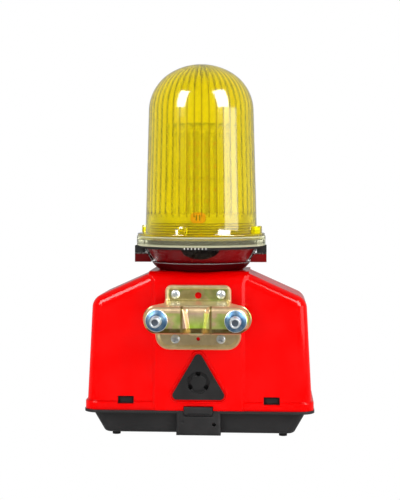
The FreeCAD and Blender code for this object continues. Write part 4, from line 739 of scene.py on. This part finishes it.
def clamp_bolts():
    """Two round-headed clamp bolts, each with a tall hollow boss on its head."""
    parts = []
    cap_height, ball = 3.4, 18.42
    middle = cap_height - ball
    boss_side, rim_side = (math.degrees(math.asin(radius / ball)) for radius in (6.0, 9.6))
    for side in (-1, 1):
        head = Outline(0, 15.0).line(2.9, 15.0).line(3.1, 17.2).line(3.4, 17.5).line(4.1, 17.5).line(4.6, 17.0)
        head.line(5.1, 4.6).line(5.4, 3.2).line(6.0, middle + ball * math.cos(math.radians(boss_side)))
        head.arc(0, middle, rim_side - boss_side, 14).line(10, 0.45).line(9.9, 0.02)
        head.line(4.0, 0.02).line(4.0, -7.6)
        for thread in range(13):
            head.line(4.0, -8.0 - 1.25 * thread).line(3.5, -8.6 - 1.25 * thread)
        head.line(3.2, -24.6).line(0, -25.0)
        bm = head.turned(72, closed=False)
        face_front(bm, (BOLT_X * side, HEAD_FACE, BOLT_Z))
        block(bm, (BOLT_X * side - NECK_HALF_WIDTH, HEAD_FACE - 0.3, BOLT_Z - NECK_HALF_WIDTH),
              (BOLT_X * side + NECK_HALF_WIDTH, HEAD_FACE + 2.4, BOLT_Z + NECK_HALF_WIDTH), 0.4)
        parts.append(bm)
    piece("bolts_domed", joined(*parts), "blue_zinc", "clamp_jaw", "clamp_bolts", crease=28)


def plate_screws():
    """Four pan screws, each with its cross recess turned differently."""
    parts = []
    for x, z, turn in SCREWS:
        head = Outline(0, 2.4).arc(0, -3.6, 36, 20).line(4.2, 0.5).line(4.2, 0).line(1.85, 0).line(1.85, -9)
        head.line(0, -9.4)
        bm = head.turned(96, closed=False)
        for vert in bm.verts:
            if vert.co.z > 0:
                along = Matrix.Rotation(math.radians(turn), 2) @ Vector((vert.co.x, vert.co.y)) / MM
                beside, out = sorted((abs(along.x), abs(along.y)))
                if beside < SLOT_HALF_WIDTH and out < SLOT_REACH:
                    vert.co.z -= SLOT_DEPTH * (1 - 0.35 * out / SLOT_REACH) * MM
        face_front(bm, (x, SCREW_FACE, z))
        parts.append(bm)
    piece("plate_screw_heads", joined(*parts), "blue_zinc", "housing", "plate_screws", crease=40)


lens_cover()
head_pieces()
ring_ticks()
bracket_plate()
clamp_strap()
clamp_bolts()
plate_screws()


# ---------------------------------------------------------------- studio
LIGHT_AIM, LIGHT_DISTANCE = Vector((0, 0, 0.22)), 1.3
FLOOR_SIZE, FLOOR_LEVEL = 6.0, -0.0002


def floor():
    """A pale floor that lights the lamp from below and isn't itself seen."""
    bm = bmesh.new()
    bmesh.ops.create_grid(bm, x_segments=2, y_segments=2, size=FLOOR_SIZE)
    bmesh.ops.translate(bm, verts=bm.verts, vec=(0, 0, FLOOR_LEVEL))
    mesh = bpy.data.meshes.new("studio_floor")
    bm.to_mesh(mesh)
    bm.free()
    pale = Finish("studio_floor", (0.92, 0.92, 0.92), 0.9, Specular_IOR_Level=0.0, Emission_Strength=0.75,
                  Emission_Color=WHITE)
    mesh.materials.append(pale.material)
    made = bpy.data.objects.new("studio_floor", mesh)
    bpy.context.scene.collection.objects.link(made)
    made.visible_camera = made.visible_glossy = False


def world():
    """Even white light. What mirrors it from outside the lamp sees a dim room, darkest towards the camera."""
    made = bpy.data.worlds.new("studio")
    bpy.context.scene.world = made
    made.use_nodes = True
    nodes, links = made.node_tree.nodes, made.node_tree.links
    nodes.clear()
    path, where = nodes.new("ShaderNodeLightPath"), nodes.new("ShaderNodeTexCoord")
    split, spread = nodes.new("ShaderNodeSeparateXYZ"), nodes.new("ShaderNodeMapRange")
    links.new(where.outputs["Generated"], split.inputs["Vector"])
    links.new(split.outputs["Y"], spread.inputs["Value"])
    for socket, value in (("From Min", -0.35), ("From Max", 0.5), ("To Min", 0.05), ("To Max", 0.34)):
        spread.inputs[socket].default_value = value
    mirrored, even, pick = (nodes.new("ShaderNodeBackground"), nodes.new("ShaderNodeBackground"),
                            nodes.new("ShaderNodeMixShader"))
    links.new(spread.outputs["Result"], mirrored.inputs["Strength"])
    scattered = nodes.new("ShaderNodeMapRange")
    links.new(path.outputs["Is Diffuse Ray"], scattered.inputs["Value"])
    scattered.inputs["To Min"].default_value, scattered.inputs["To Max"].default_value = 1.0, 0.8
    links.new(scattered.outputs["Result"], even.inputs["Strength"])
    for light in (mirrored, even):
        light.inputs["Color"].default_value = WHITE
    outside, direct = nodes.new("ShaderNodeMath"), nodes.new("ShaderNodeMath")
    outside.operation, direct.operation = "LESS_THAN", "MULTIPLY"
    links.new(path.outputs["Transmission Depth"], outside.inputs[0])
    outside.inputs[1].default_value = 0.5
    links.new(path.outputs["Is Glossy Ray"], direct.inputs[0])
    links.new(outside.outputs[0], direct.inputs[1])
    links.new(direct.outputs[0], pick.inputs["Fac"])
    links.new(even.outputs[0], pick.inputs[1])
    links.new(mirrored.outputs[0], pick.inputs[2])
    links.new(pick.outputs[0], nodes.new("ShaderNodeOutputWorld").inputs["Surface"])


def softbox(name, azimuth, elevation, width, height, power, mirrored):
    """A soft light aimed at the lamp. A mirrored one shows only in glossy surfaces, and the others only light them."""
    data = bpy.data.lights.new(name, "AREA")
    data.shape, data.size, data.size_y, data.energy = "RECTANGLE", width, height, power
    made = bpy.data.objects.new(name, data)
    bpy.context.scene.collection.objects.link(made)
    a, e = math.radians(azimuth), math.radians(elevation)
    way = Vector((math.sin(a) * math.cos(e), -math.cos(a) * math.cos(e), math.sin(e)))
    made.location = LIGHT_AIM + way * LIGHT_DISTANCE
    made.rotation_euler = (-way).to_track_quat("-Z", "Y").to_euler()
    made.visible_camera = made.visible_transmission = False
    made.visible_diffuse, made.visible_glossy = not mirrored, mirrored


def camera():
    """A camera a little to the right of the lamp, level, and aimed at its axis."""
    data = bpy.data.cameras.new("camera")
    made = bpy.data.objects.new("camera", data)
    bpy.context.scene.collection.objects.link(made)
    bpy.context.scene.camera = made
    data.lens, data.sensor_width, data.shift_x, data.shift_y = 82.5, 36.0, -0.0025, -0.11
    data.clip_start, data.clip_end = 0.05, 50
    made.location = (0.067, -1.098, 0.224)
    level_view = Vector((-made.location.x, -made.location.y, 0))
    made.rotation_euler = level_view.to_track_quat("-Z", "Y").to_euler()


floor()
world()
softbox("key_light", 48, 34, 0.9, 0.9, 7, False)
softbox("fill_light", -42, 26, 0.7, 1.0, 3, False)
softbox("left_softbox", -41, 30, 0.42, 0.82, 18, True)
softbox("right_softbox", 52, 30.5, 0.6, 0.85, 25, True)
softbox("side_panel", 68, 1, 0.75, 0.5, 4, True)
camera()
bpy.context.scene.view_settings.view_transform = "Standard"
